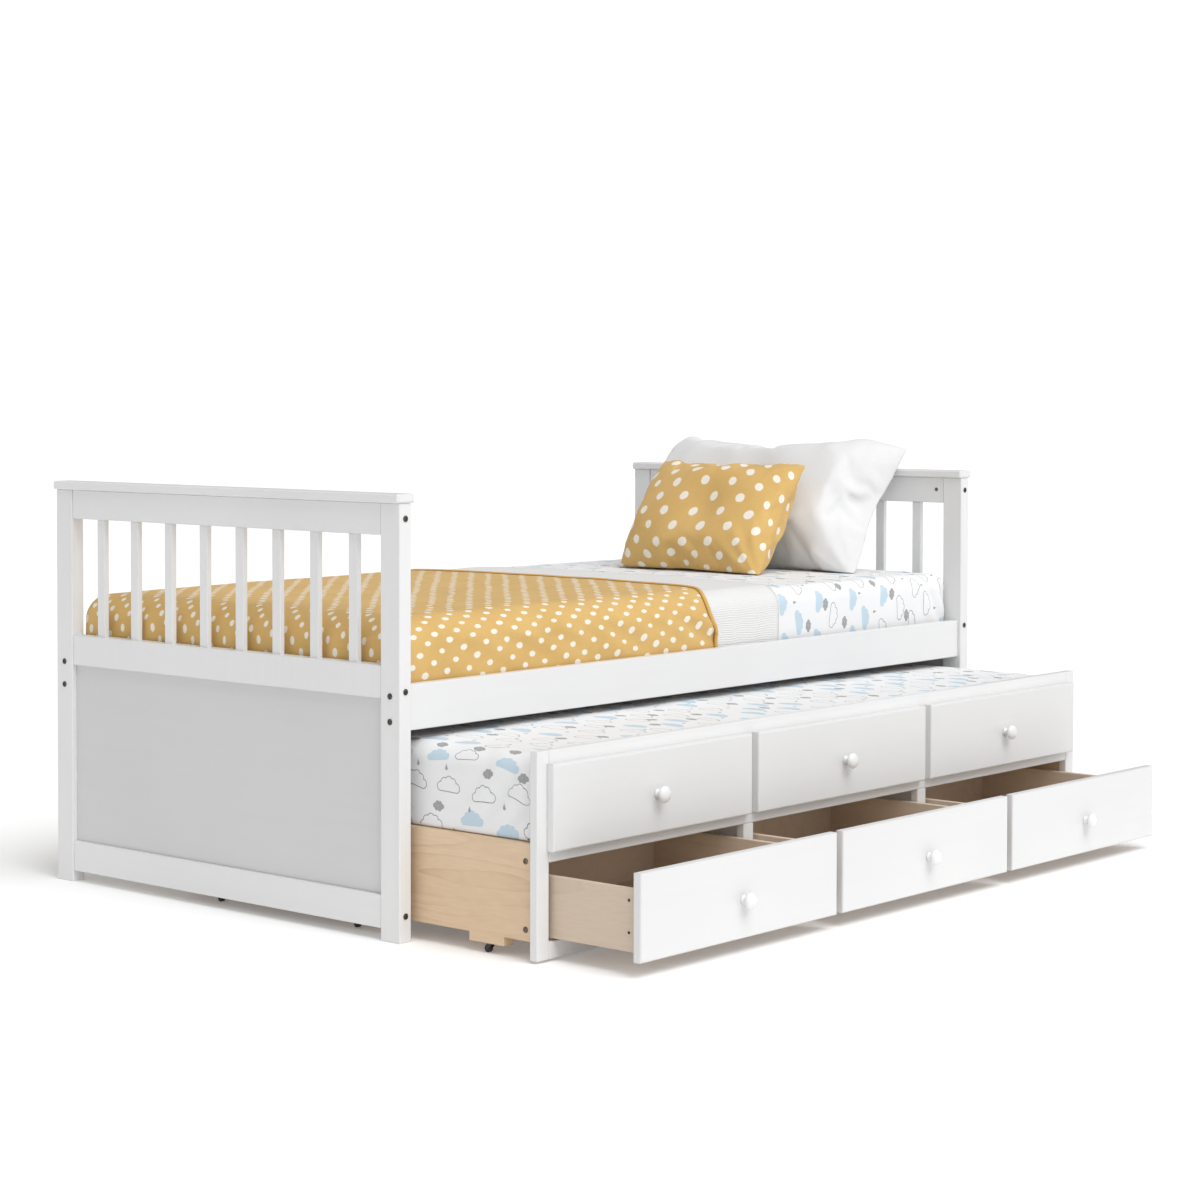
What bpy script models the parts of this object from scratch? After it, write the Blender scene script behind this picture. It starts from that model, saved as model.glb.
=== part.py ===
"""Trundle bed: twin bed frame, roll-out trundle bed under it, and three drawers in the trundle's front.

Metres, +Z up, floor at Z = 0. X runs from the foot end (-X) to the head end (+X). The trundle and the drawers
open towards -Y. The origin is on the floor at the middle of everything, with trundle and drawers pulled out.
"""

import math

import bmesh
import bpy
from mathutils import Matrix, Vector
from mathutils.bvhtree import BVHTree

# ---------------------------------------------------------------- clearances and edges
GAP = 0.0003  # between two pieces that are bolted, glued or laid face to face
EASE = 0.0015  # eased edge of a painted board
FRONT_ROUND = 0.0035  # rounded front edge of a drawer front or sham front
OVERLAP = 0.001  # how far shapes that are glued into one piece run into each other

# ---------------------------------------------------------------- bed frame
INNER_LENGTH = 1.936  # between the head posts and the foot posts
BED_WIDTH = 1.060  # over the posts
POST_DEPTH = 0.032  # along X
POST_WIDTH = 0.053  # along Y
POST_HEIGHT = 0.857
CAP_THICK = 0.018
CAP_OVER_FACE = 0.008  # how far a cap stands out past the posts along X
CAP_OVER_END = 0.0025  # and along Y
RAIL_SETBACK = 0.002  # end rails lie this far inside the posts' faces
TOP_RAIL_FOOT = 0.794
MIDDLE_RAIL_TOP = 0.540
MIDDLE_RAIL_FOOT = 0.475
BOTTOM_RAIL_TOP = 0.090
BOTTOM_RAIL_FOOT = 0.024
PANEL_THICK = 0.009
SPINDLE_COUNT = 8
SPINDLE_WIDTH = 0.025
SPINDLE_THICK = 0.012
SPINDLE_END_GAP = 0.0746  # between a post and the nearest spindle
SIDE_RAIL_TOP = 0.5025
SIDE_RAIL_FOOT = 0.4125
SIDE_RAIL_THICK = 0.022
SIDE_RAIL_SETBACK = 0.0076
LEDGE_WIDTH = 0.020
LEDGE_HEIGHT = 0.0155
BOLT_RADIUS = 0.0046  # head pocket of a bed bolt
BOLT_DEPTH = 0.003
BOLT_END_HEIGHTS = (0.052, 0.490, 0.827)  # through the posts into the end rails
BOLT_SIDE_HEIGHTS = (0.431, 0.481)  # through the posts into the side rails

# ---------------------------------------------------------------- slats and bedding
SLAT_COUNT = 14
SLAT_WIDTH = 0.070
SLAT_THICK = 0.012
SLAT_END_ROOM = 0.020  # between an end post and the first slat
TAPE_WIDTH = 0.030
TAPE_THICK = 0.002
TAPE_INSET = 0.22  # tape's middle from a slat's end
MATTRESS_TOP = 0.622
MATTRESS_END_ROOM = 0.011  # between mattress and end rails
MATTRESS_SIDE_ROOM = 0.0085  # between mattress and side rails
MATTRESS_ROUND = 0.030
COVERLET_THICK = 0.005
COVERLET_LENGTH = 0.99  # from the mattress's foot to the hem
BLANKET_THICK = 0.004
BLANKET_SHOWS = 0.24  # how much of the blanket shows past the coverlet
WHITE_PILLOW = (0.727, 0.403, 0.198)  # width, height, thickness
WHITE_PILLOW_LEAN = math.radians(36.0)
WHITE_PILLOW_FROM_FRONT = 0.527  # middle, from the front post faces
DOTTED_PILLOW = (0.455, 0.334, 0.168)
DOTTED_PILLOW_LEAN = math.radians(34.5)
DOTTED_PILLOW_FROM_FRONT = 0.494
WHITE_PILLOW_BACK = 0.22  # share of the thickness behind the seam: pressed flat on the headboard
DOTTED_PILLOW_BACK = 0.54

# ---------------------------------------------------------------- trundle
TRUNDLE_OUT = 0.3263  # how far it is pulled out
TRUNDLE_BACK_ROOM = 0.0335  # behind the trundle when it is pushed home
TRUNDLE_END_ROOM = 0.0048  # face frame to posts
FRAME_THICK = 0.019
FRAME_FOOT = 0.005
FRAME_TOP = 0.4006
STILE_WIDTH = 0.034
DIVIDER_WIDTH = 0.0325
OPENING_FOOT = 0.0385
OPENING_TOP = 0.188
END_BOARD_INSET = 0.013  # behind the face frame's end
END_BOARD_THICK = 0.016
END_BOARD_FOOT = 0.037
END_BOARD_TOP = 0.224
BACK_BOARD_THICK = 0.016
PARTITION_THICK = 0.012
PARTITION_TOP = 0.182
RUNNER_TOP = 0.0437
RUNNER_REACH = 0.003  # runner past the inner face of a drawer side
DECK_LEDGE = 0.018  # depth and height of the ledges that carry the trundle's slats
DECK_SLAT_COUNT = 13
TRUNDLE_MATTRESS_TOP = 0.394
TRUNDLE_MATTRESS_OVER = 0.002  # inside the end boards' outer faces
SHAM_MARGIN = 0.027  # from the face frame's end to the first sham front
SHAM_GAP = 0.0203  # between two sham fronts
SHAM_FOOT = 0.2099
SHAM_TOP = 0.3753
SHAM_THICK = 0.0175
CASTER_BLOCK_LENGTH = 0.091
CASTER_BLOCK_DEPTH = 0.028
CASTER_BLOCK_FOOT = 0.020
CASTER_FROM_FRONT = 0.142  # first swivel, behind the face frame's front
CASTER_FROM_BACK = 0.1155  # last swivel, ahead of the back board's back
CASTER_MIDDLE_AHEAD = 0.025  # middle swivel, ahead of half way between those two

# ---------------------------------------------------------------- drawers
DRAWER_OUT = 0.2129  # how far each is pulled out
DRAWER_FRONT_THICK = 0.018
DRAWER_FRONT_FOOT = 0.0302
DRAWER_FRONT_TOP = 0.1957
DRAWER_BOX_DEPTH = 0.450
DRAWER_BOX_TOP = 0.162
DRAWER_SIDE_ROOM = 0.009  # box side to opening side
DRAWER_WALL = 0.012
DRAWER_BOTTOM_THICK = 0.005
DRAWER_BOTTOM_RISE = 0.008  # bottom's underside above the sides' lower edges
KNOB_RADIUS = 0.017
KNOB_LENGTH = 0.027
SHAM_KNOB_HEIGHT = 0.287
DRAWER_KNOB_HEIGHT = 0.105

# ---------------------------------------------------------------- casters
WHEEL_RADIUS = 0.0075
WHEEL_WIDTH = 0.008
WHEEL_TRAIL = 0.007  # axle behind the swivel
AXLE_RADIUS = 0.0015
AXLE_ROOM = 0.0004
FORK_ARM = 0.0016
FORK_ROOM = 0.0007
FORK_DISC_RADIUS = 0.009
FORK_DISC_THICK = 0.003

# ---------------------------------------------------------------- derived places
FRONT_MOST = -(TRUNDLE_OUT + GAP + DRAWER_OUT + DRAWER_FRONT_THICK + GAP + KNOB_LENGTH)
BACK_MOST = BED_WIDTH + CAP_OVER_END
FRONT_Y = -(FRONT_MOST + BACK_MOST) / 2  # front faces of the front posts
BACK_Y = FRONT_Y + BED_WIDTH
INNER_X = INNER_LENGTH / 2  # inner faces of the posts
OUTER_X = INNER_X + POST_DEPTH
RAIL_INNER_X = INNER_X + RAIL_SETBACK
LEDGE_TOP = SIDE_RAIL_FOOT + LEDGE_HEIGHT
SLAT_FOOT = LEDGE_TOP + GAP
MATTRESS_FOOT = SLAT_FOOT + SLAT_THICK + GAP
MATTRESS_X = RAIL_INNER_X - MATTRESS_END_ROOM
MATTRESS_FRONT = FRONT_Y + SIDE_RAIL_SETBACK + SIDE_RAIL_THICK + MATTRESS_SIDE_ROOM
MATTRESS_BACK = BACK_Y - SIDE_RAIL_SETBACK - SIDE_RAIL_THICK - MATTRESS_SIDE_ROOM
FACE_Y = FRONT_Y - TRUNDLE_OUT  # front face of the trundle's face frame
FRAME_BACK = FACE_Y + FRAME_THICK
TRUNDLE_BACK = FACE_Y + BED_WIDTH - TRUNDLE_BACK_ROOM
FRAME_X = INNER_X - TRUNDLE_END_ROOM
END_BOARD_X = FRAME_X - END_BOARD_INSET
OPENING_X = FRAME_X - STILE_WIDTH
SHAM_WIDTH = (2 * (FRAME_X - SHAM_MARGIN) - 2 * SHAM_GAP) / 3
SHAM_PITCH = SHAM_WIDTH + SHAM_GAP
CASTER_LINES = (
    ("front", FACE_Y + CASTER_FROM_FRONT),
    ("middle", (FACE_Y + CASTER_FROM_FRONT + TRUNDLE_BACK - CASTER_FROM_BACK) / 2 - CASTER_MIDDLE_AHEAD),
    ("back", TRUNDLE_BACK - CASTER_FROM_BACK),
)
DRAWER_BACK_OF_FRONT = FACE_Y - GAP - DRAWER_OUT
RUNNER_FOOT = END_BOARD_FOOT + GAP
DECK_TOP = END_BOARD_TOP
DECK_FOOT = DECK_TOP - SLAT_THICK


# ---------------------------------------------------------------- materials
def material(name, colour, roughness, metallic=0.0):
    made = bpy.data.materials.new(name)
    made.use_nodes = True
    shader = made.node_tree.nodes["Principled BSDF"]
    shader.inputs["Base Color"].default_value = (*colour, 1.0)
    shader.inputs["Roughness"].default_value = roughness
    shader.inputs["Metallic"].default_value = metallic
    return made


WHITE_PAINT = material("white_paint", (0.86, 0.86, 0.85), 0.35)
PINE = material("pine", (0.72, 0.53, 0.34), 0.6)
DRAWER_WOOD = material("drawer_wood", (0.74, 0.60, 0.50), 0.6)
SHEET_CLOTH = material("sheet_cloth", (0.88, 0.88, 0.89), 0.9)
COVERLET_CLOTH = material("coverlet_cloth", (0.72, 0.46, 0.13), 0.9)
PILLOW_CLOTH = material("pillow_cloth", (0.87, 0.87, 0.87), 0.8)
CASTER_BLACK = material("caster_black", (0.02, 0.02, 0.02), 0.4)


# ---------------------------------------------------------------- shapes
def place(mesh, name, coat, origin=(0, 0, 0), parent=None):
    """An object of a mesh drawn in world coordinates, its origin moved to a point and hung on its parent."""
    own = mesh.copy()
    own.name = name
    own.transform(Matrix.Translation(-Vector(origin)))
    own.materials.clear()
    own.materials.append(coat)
    made = bpy.data.objects.new(name, own)
    bpy.context.scene.collection.objects.link(made)
    made.location = Vector(origin) - (Vector(parent["at"]) if parent else Vector())
    made.parent = parent
    return made


def pivot(name, at, parent=None):
    """An empty on a joint's axis."""
    made = bpy.data.objects.new(name, None)
    bpy.context.scene.collection.objects.link(made)
    made["at"] = tuple(at)
    made.location = Vector(at) - (Vector(parent["at"]) if parent else Vector())
    made.parent = parent
    return made


def mesh_of(bm, name):
    bmesh.ops.recalc_face_normals(bm, faces=bm.faces)
    if bm.calc_volume(signed=True) < 0:
        bmesh.ops.reverse_faces(bm, faces=bm.faces)
    mesh = bpy.data.meshes.new(name)
    bm.to_mesh(mesh)
    bm.free()
    return mesh


def board_mesh(low, high, ease=EASE, segments=1):
    """A board between two corners, with all its edges eased."""
    low, high = Vector(low), Vector(high)
    bm = bmesh.new()
    bmesh.ops.create_cube(bm, size=1.0)
    size = high - low
    for vert in bm.verts:
        vert.co = Vector(vert.co[i] * size[i] for i in range(3)) + (low + high) / 2
    if ease:
        most = min(ease, 0.24 * min(size))
        bmesh.ops.bevel(bm, geom=bm.edges[:], offset=most, segments=segments, profile=0.5, affect="EDGES")
    return mesh_of(bm, "board")


def front_mesh(low, high, round_over=FRONT_ROUND):
    """A drawer front or sham front: square at the back, rounded along its four front edges (facing -Y)."""
    low, high = Vector(low), Vector(high)
    steps = 3
    bm = bmesh.new()
    turns = [math.pi / 2 * i / steps for i in range(steps + 1)]
    rings = [(high.y, 0.0)] + [
        (low.y + round_over * (1 - math.sin(t)), round_over * (1 - math.cos(t))) for t in turns
    ]
    loops = []
    for y, inset in rings:
        corners = (
            (low.x + inset, low.z + inset),
            (high.x - inset, low.z + inset),
            (high.x - inset, high.z - inset),
            (low.x + inset, high.z - inset),
        )
        loops.append([bm.verts.new((x, y, z)) for x, z in corners])
    for a, b in zip(loops, loops[1:]):
        for i in range(4):
            bm.faces.new((a[i], a[(i + 1) % 4], b[(i + 1) % 4], b[i]))
    bm.faces.new(loops[0])
    bm.faces.new(loops[-1])
    return mesh_of(bm, "front")


def rod_mesh(start, end, radius, sides=16):
    """A round bar between two points."""
    start, end = Vector(start), Vector(end)
    turn = Vector((0, 0, 1)).rotation_difference(end - start).to_matrix().to_4x4()
    bm = bmesh.new()
    bmesh.ops.create_cone(
        bm,
        cap_ends=True,
        segments=sides,
        radius1=radius,
        radius2=radius,
        depth=(end - start).length,
        matrix=Matrix.Translation((start + end) / 2) @ turn,
    )
    return mesh_of(bm, "rod")


def prism_mesh(outline, axis, start, end):
    """An outline, as (first, second) of the two other axes, drawn out along an axis."""
    others = [i for i in range(3) if i != axis]
    bm = bmesh.new()
    ends = []
    for along in (start, end):
        ring = []
        for a, b in outline:
            co = [0.0, 0.0, 0.0]
            co[axis], co[others[0]], co[others[1]] = along, a, b
            ring.append(bm.verts.new(co))
        ends.append(ring)
    for i in range(len(outline)):
        j = (i + 1) % len(outline)
        bm.faces.new((ends[0][i], ends[0][j], ends[1][j], ends[1][i]))
    bm.faces.new(ends[0])
    bm.faces.new(ends[1])
    return mesh_of(bm, "prism")


def turned_mesh(profile, centre, sides):
    """A turned shape about a line along Y: profile is (distance forward of centre towards -Y, radius)."""
    bm = bmesh.new()
    rings = []
    for forward, radius in profile:
        ring = []
        for i in range(sides):
            turn = 2 * math.pi * i / sides
            x = centre[0] + radius * math.cos(turn)
            z = centre[2] + radius * math.sin(turn)
            ring.append(bm.verts.new((x, centre[1] - forward, z)))
        rings.append(ring)
    for a, b in zip(rings, rings[1:]):
        for i in range(sides):
            j = (i + 1) % sides
            bm.faces.new((a[i], a[j], b[j], b[i]))
    bm.faces.new(rings[0])
    bm.faces.new(rings[-1])
    return mesh_of(bm, "turned")


def helper(mesh, name):
    """A shape that a Boolean joins to or cuts from a piece: not a piece itself."""
    made = bpy.data.objects.new(name, mesh)
    bpy.context.scene.collection.objects.link(made)
    made.hide_render = True
    made.display_type = "WIRE"
    return made


def boolean(piece, meshes, operation):
    for number, mesh in enumerate(meshes):
        step = piece.modifiers.new(f"{operation.lower()}_{number}", "BOOLEAN")
        step.operation = operation
        step.object = helper(mesh, f"{piece.name}_{operation.lower()}_{number}")
    return piece


def smooth(piece, angle=35):
    piece.data.shade_smooth()
    piece.data.set_sharp_from_angle(angle=math.radians(angle))
    return piece


def board(name, low, high, coat, parent=None, ease=EASE):
    middle = [(a + b) / 2 for a, b in zip(low, high)]
    return place(board_mesh(low, high, ease), name, coat, middle, parent)


def glued(name, meshes, coat, origin, parent=None):
    """Several shapes joined into one piece."""
    return boolean(place(meshes[0], name, coat, origin, parent), meshes[1:], "UNION")


# ---------------------------------------------------------------- bed frame
def bolt_pockets(x_side, y_side):
    """Bolt pockets in a post: its outer Y face for the end rails, its outer X face for the side rail."""
    x_mid = x_side * (INNER_X + POST_DEPTH / 2)
    y_face = FRONT_Y if y_side < 0 else BACK_Y
    y_mid = y_face - y_side * POST_WIDTH / 2
    x_face = x_side * OUTER_X
    pockets = []
    for height in BOLT_END_HEIGHTS:
        inner = (x_mid, y_face - y_side * BOLT_DEPTH, height)
        pockets.append(rod_mesh(inner, (x_mid, y_face + y_side * BOLT_DEPTH, height), BOLT_RADIUS))
    for height in BOLT_SIDE_HEIGHTS:
        inner = (x_face - x_side * BOLT_DEPTH, y_mid, height)
        pockets.append(rod_mesh(inner, (x_face + x_side * BOLT_DEPTH, y_mid, height), BOLT_RADIUS))
    return pockets


def bed_end(end, x_side):
    """Posts, cap, rails, spindles and panel of one end; x_side is -1 at the foot and 1 at the head."""

    def span(inner, outer):
        return sorted((x_side * inner, x_side * outer))

    post_x = span(INNER_X, OUTER_X)
    rail_x = span(INNER_X + RAIL_SETBACK, OUTER_X - RAIL_SETBACK)
    middle_x = INNER_X + POST_DEPTH / 2
    for where, y_side, y_low in (("front", -1, FRONT_Y), ("back", 1, BACK_Y - POST_WIDTH)):
        name = f"{end}_post_{where}"
        post = board(name, (post_x[0], y_low, 0), (post_x[1], y_low + POST_WIDTH, POST_HEIGHT), WHITE_PAINT)
        boolean(post, bolt_pockets(x_side, y_side), "DIFFERENCE")
    cap_x = span(INNER_X - CAP_OVER_FACE, OUTER_X + CAP_OVER_FACE)
    board(
        f"{end}_cap",
        (cap_x[0], FRONT_Y - CAP_OVER_END, POST_HEIGHT + GAP),
        (cap_x[1], BACK_Y + CAP_OVER_END, POST_HEIGHT + GAP + CAP_THICK),
        WHITE_PAINT,
        ease=0.003,
    )
    y_low = FRONT_Y + POST_WIDTH + GAP
    y_high = BACK_Y - POST_WIDTH - GAP

    def rail(name, z_low, z_high):
        return board(f"{end}_{name}", (rail_x[0], y_low, z_low), (rail_x[1], y_high, z_high), WHITE_PAINT)

    rail("top_rail", TOP_RAIL_FOOT, POST_HEIGHT)
    rail("bottom_rail", BOTTOM_RAIL_FOOT, BOTTOM_RAIL_TOP)
    comb = rail("spindle_rail", MIDDLE_RAIL_FOOT, MIDDLE_RAIL_TOP)
    spindle_x = span(middle_x - SPINDLE_THICK / 2, middle_x + SPINDLE_THICK / 2)
    first = FRONT_Y + POST_WIDTH + SPINDLE_END_GAP + SPINDLE_WIDTH / 2
    last = BACK_Y - POST_WIDTH - SPINDLE_END_GAP - SPINDLE_WIDTH / 2
    spindles = []
    for number in range(SPINDLE_COUNT):
        y = first + (last - first) * number / (SPINDLE_COUNT - 1)
        low = (spindle_x[0], y - SPINDLE_WIDTH / 2, MIDDLE_RAIL_TOP - 0.02)
        high = (spindle_x[1], y + SPINDLE_WIDTH / 2, TOP_RAIL_FOOT - GAP)
        spindles.append(board_mesh(low, high, 0.0012))
    boolean(comb, spindles, "UNION")
    panel_x = span(middle_x - PANEL_THICK / 2, middle_x + PANEL_THICK / 2)
    board(
        f"{end}_panel",
        (panel_x[0], y_low, BOTTOM_RAIL_TOP + GAP),
        (panel_x[1], y_high, MIDDLE_RAIL_FOOT - GAP),
        WHITE_PAINT,
        ease=0.0,
    )


def side_rail(where, y_side):
    """A side rail with the slat ledge along its inside foot."""
    outer = FRONT_Y + SIDE_RAIL_SETBACK if y_side < 0 else BACK_Y - SIDE_RAIL_SETBACK
    inner = outer - y_side * SIDE_RAIL_THICK
    ledge = inner - y_side * LEDGE_WIDTH
    x_end = INNER_X - GAP

    def part(y_a, y_b, z_top, ease):
        low = (-x_end, min(y_a, y_b), SIDE_RAIL_FOOT)
        return board_mesh(low, (x_end, max(y_a, y_b), z_top), ease)

    rail = part(outer, inner, SIDE_RAIL_TOP, EASE)
    foot = part(outer - y_side * SIDE_RAIL_THICK / 2, ledge, LEDGE_TOP, 0.0)
    glued(f"side_rail_{where}", [rail, foot], WHITE_PAINT, (0, outer, SIDE_RAIL_FOOT))


def slat_roll(name, count, x_end, y_low, y_high, z_low, coat, parent=None):
    """Slats across the bed, evenly spaced, stapled to two webbing tapes under them: one flexible piece."""
    pitch = (2 * x_end - SLAT_WIDTH) / (count - 1)
    slats = []
    for number in range(count):
        x = -x_end + number * pitch
        slats.append(board_mesh((x, y_low, z_low), (x + SLAT_WIDTH, y_high, z_low + SLAT_THICK), EASE))
    tapes = []
    for middle in (y_low + TAPE_INSET, y_high - TAPE_INSET):
        low = (-x_end + SLAT_WIDTH / 4, middle - TAPE_WIDTH / 2, z_low - TAPE_THICK + OVERLAP / 2)
        high = (x_end - SLAT_WIDTH / 4, middle + TAPE_WIDTH / 2, z_low + OVERLAP / 2)
        tapes.append(board_mesh(low, high, 0.0))
    return glued(name, tapes[:1] + slats + tapes[1:], coat, (0, y_low, z_low), parent)


# ---------------------------------------------------------------- bedding
def mattress(name, low, high, parent=None, round_over=MATTRESS_ROUND):
    middle = [(a + b) / 2 for a, b in zip(low, high)]
    mesh = board_mesh(low, high, round_over, segments=3)
    return smooth(place(mesh, name, SHEET_CLOTH, middle, parent))


def tucked_cloth(name, x_start, x_hem, thick, coat):
    """Cloth over the mattress, its sides tucked inside the rails, and its foot end too if x_start is None."""
    past = 0.1  # how far the shapes run past the cut edges before they are trimmed
    inner_low = Vector((-MATTRESS_X - GAP, MATTRESS_FRONT - GAP, MATTRESS_FOOT - past))
    inner_high = Vector((MATTRESS_X + past, MATTRESS_BACK + GAP, MATTRESS_TOP + GAP))
    walls = Vector((thick, thick, thick))
    outer = board_mesh(inner_low - walls, inner_high + walls, MATTRESS_ROUND + thick, 3)
    inner = board_mesh(inner_low - Vector((0, 0, past)), inner_high + Vector((past, 0, 0)), MATTRESS_ROUND, 3)
    trim = board_mesh(
        (inner_low.x - past if x_start is None else x_start, inner_low.y - past, MATTRESS_FOOT + 0.006),
        (x_hem, inner_high.y + past, inner_high.z + past),
        0.0,
    )
    cloth = place(outer, name, coat, (x_hem, inner_low.y, inner_low.z))
    boolean(cloth, [inner], "DIFFERENCE")
    boolean(cloth, [trim], "INTERSECT")


def pillow_mesh(size, lean, back, grid=(14, 10)):
    """A plump closed pillow, standing on its long edge and leaning towards +X, about the origin."""
    width, height, thick = size
    across, up = grid
    turn = Matrix.Rotation(lean, 3, "Y")
    bm = bmesh.new()
    edge = {}
    for face in (-1, 1):
        verts = {}
        for i in range(across + 1):
            for j in range(up + 1):
                u = 2 * i / across - 1
                v = 2 * j / up - 1
                on_edge = abs(u) == 1 or abs(v) == 1
                if on_edge and (i, j) in edge:
                    verts[i, j] = edge[i, j]
                    continue
                pull = 1 - 0.05 * (1 - u * u) * v * v - 0.05 * (1 - v * v) * u * u
                share = back if face > 0 else 1 - back
                swell = ((1 - u * u) * (1 - v * v)) ** 0.75 * thick * share
                flat = Vector((face * swell, u * width / 2 * pull, v * height / 2 * pull))
                verts[i, j] = bm.verts.new(turn @ flat)
                if on_edge:
                    edge[i, j] = verts[i, j]
        for i in range(across):
            for j in range(up):
                bm.faces.new((verts[i, j], verts[i + 1, j], verts[i + 1, j + 1], verts[i, j + 1]))
    return mesh_of(bm, "pillow")


def move(mesh, by):
    mesh.transform(Matrix.Translation(by))
    return mesh


def room_ahead(mesh, other):
    """How far a mesh can slide along +X before it touches another."""
    ahead = BVHTree.FromPolygons([v.co for v in other.vertices], [p.vertices for p in other.polygons])
    behind = BVHTree.FromPolygons([v.co for v in mesh.vertices], [p.vertices for p in mesh.polygons])
    found = [ahead.ray_cast(v.co, Vector((1, 0, 0)))[3] for v in mesh.vertices]
    found += [behind.ray_cast(v.co, Vector((-1, 0, 0)))[3] for v in other.vertices]
    return min(distance for distance in found if distance is not None)


def pillows():
    """The white pillow leans on the head cap, the dotted one on the white one; the mattress carries both."""
    seat = MATTRESS_TOP + GAP
    white = pillow_mesh(WHITE_PILLOW, WHITE_PILLOW_LEAN, WHITE_PILLOW_BACK)
    foot = min(v.co.z for v in white.vertices)
    at = Vector((0, FRONT_Y + WHITE_PILLOW_FROM_FRONT, seat - foot))
    move(white, at)
    edge = INNER_X - CAP_OVER_FACE  # inner edge of the head cap, which the pillow's back meets
    back = BVHTree.FromPolygons([v.co for v in white.vertices], [p.vertices for p in white.polygons])
    steps = [FRONT_Y + BED_WIDTH * i / 100 for i in range(101)]
    starts = [Vector((edge, y, z)) for y in steps for z in (POST_HEIGHT, POST_HEIGHT + CAP_THICK)]
    found = [back.ray_cast(start, Vector((-1, 0, 0)))[3] for start in starts]
    lean = Vector((min(room for room in found if room is not None) - 2 * GAP, 0, 0))
    smooth(place(move(white, lean), "white_pillow", PILLOW_CLOTH, at + lean))
    dotted = pillow_mesh(DOTTED_PILLOW, DOTTED_PILLOW_LEAN, DOTTED_PILLOW_BACK)
    foot = min(v.co.z for v in dotted.vertices)
    start = Vector((0, FRONT_Y + DOTTED_PILLOW_FROM_FRONT, seat - foot))
    move(dotted, start)
    slide = Vector((room_ahead(dotted, white) - 2 * GAP, 0, 0))
    smooth(place(move(dotted, slide), "dotted_pillow", COVERLET_CLOTH, start + slide))


# ---------------------------------------------------------------- trundle
def knob(name, x, y, z, parent):
    """A turned mushroom knob standing on a front at Y = y."""
    profile = [(0.0, 0.0085), (0.002, 0.0085), (0.005, 0.0065), (0.011, 0.0070), (0.0145, 0.0115)]
    profile.append((0.0165, KNOB_RADIUS))
    steps = 4
    for i in range(1, steps + 1):
        turn = math.pi / 2 * i / (steps + 0.6)
        rise = KNOB_LENGTH - profile[5][0]
        profile.append((profile[5][0] + rise * math.sin(turn), KNOB_RADIUS * math.cos(turn)))
    scale = KNOB_LENGTH / profile[-1][0]
    profile = [(forward * scale, radius) for forward, radius in profile]
    smooth(place(turned_mesh(profile, (x, y, z), 20), name, WHITE_PAINT, (x, y, z), parent))


def columns():
    return (("left", -SHAM_PITCH), ("middle", 0.0), ("right", SHAM_PITCH))


def drawer_sides(x):
    """Outer faces of the drawer box in the column at X = x."""
    half = SHAM_PITCH / 2 - DIVIDER_WIDTH / 2
    low = max(x - half, -OPENING_X) + DRAWER_SIDE_ROOM
    high = min(x + half, OPENING_X) - DRAWER_SIDE_ROOM
    return low, high


def face_frame(trundle):
    back = FRAME_BACK
    for where, side in (("left", -1), ("right", 1)):
        x = sorted((side * OPENING_X, side * FRAME_X))
        low = (x[0] + (GAP if side > 0 else 0), FACE_Y, FRAME_FOOT)
        high = (x[1] - (GAP if side < 0 else 0), back, FRAME_TOP)
        board(f"trundle_stile_{where}", low, high, WHITE_PAINT, trundle)
    top = board_mesh((-OPENING_X, FACE_Y, OPENING_TOP + GAP), (OPENING_X, back, FRAME_TOP))
    ledge_x = min(OPENING_X, END_BOARD_X - END_BOARD_THICK - GAP) - OVERLAP
    ledge = board_mesh(
        (-ledge_x, back - 0.004, DECK_FOOT - GAP - DECK_LEDGE),
        (ledge_x, back + DECK_LEDGE, DECK_FOOT - GAP),
        0.0,
    )
    glued("trundle_top_board", [top, ledge], WHITE_PAINT, (0, FACE_Y, OPENING_TOP), trundle)
    low = (-OPENING_X, FACE_Y, FRAME_FOOT)
    board("trundle_bottom_rail", low, (OPENING_X, back, OPENING_FOOT), WHITE_PAINT, trundle)


def partition(where, x, trundle):
    """A divider of the face frame, glued to the partition behind it and the runner along its foot."""
    lip = board_mesh(
        (x - DIVIDER_WIDTH / 2, FACE_Y, OPENING_FOOT + GAP), (x + DIVIDER_WIDTH / 2, FRAME_BACK, OPENING_TOP)
    )
    web = board_mesh(
        (x - PARTITION_THICK / 2, FRAME_BACK - 0.004, OPENING_FOOT + 0.002),
        (x + PARTITION_THICK / 2, TRUNDLE_BACK - BACK_BOARD_THICK - GAP, PARTITION_TOP),
        0.0,
    )
    reach = DIVIDER_WIDTH / 2 + DRAWER_SIDE_ROOM + DRAWER_WALL + RUNNER_REACH
    runner = board_mesh(
        (x - reach, FRAME_BACK + GAP, RUNNER_FOOT),
        (x + reach, FRAME_BACK + DRAWER_BOX_DEPTH, RUNNER_TOP),
        0.0,
    )
    glued(f"trundle_divider_{where}", [web, lip, runner], WHITE_PAINT, (x, FACE_Y, OPENING_FOOT), trundle)


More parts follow.
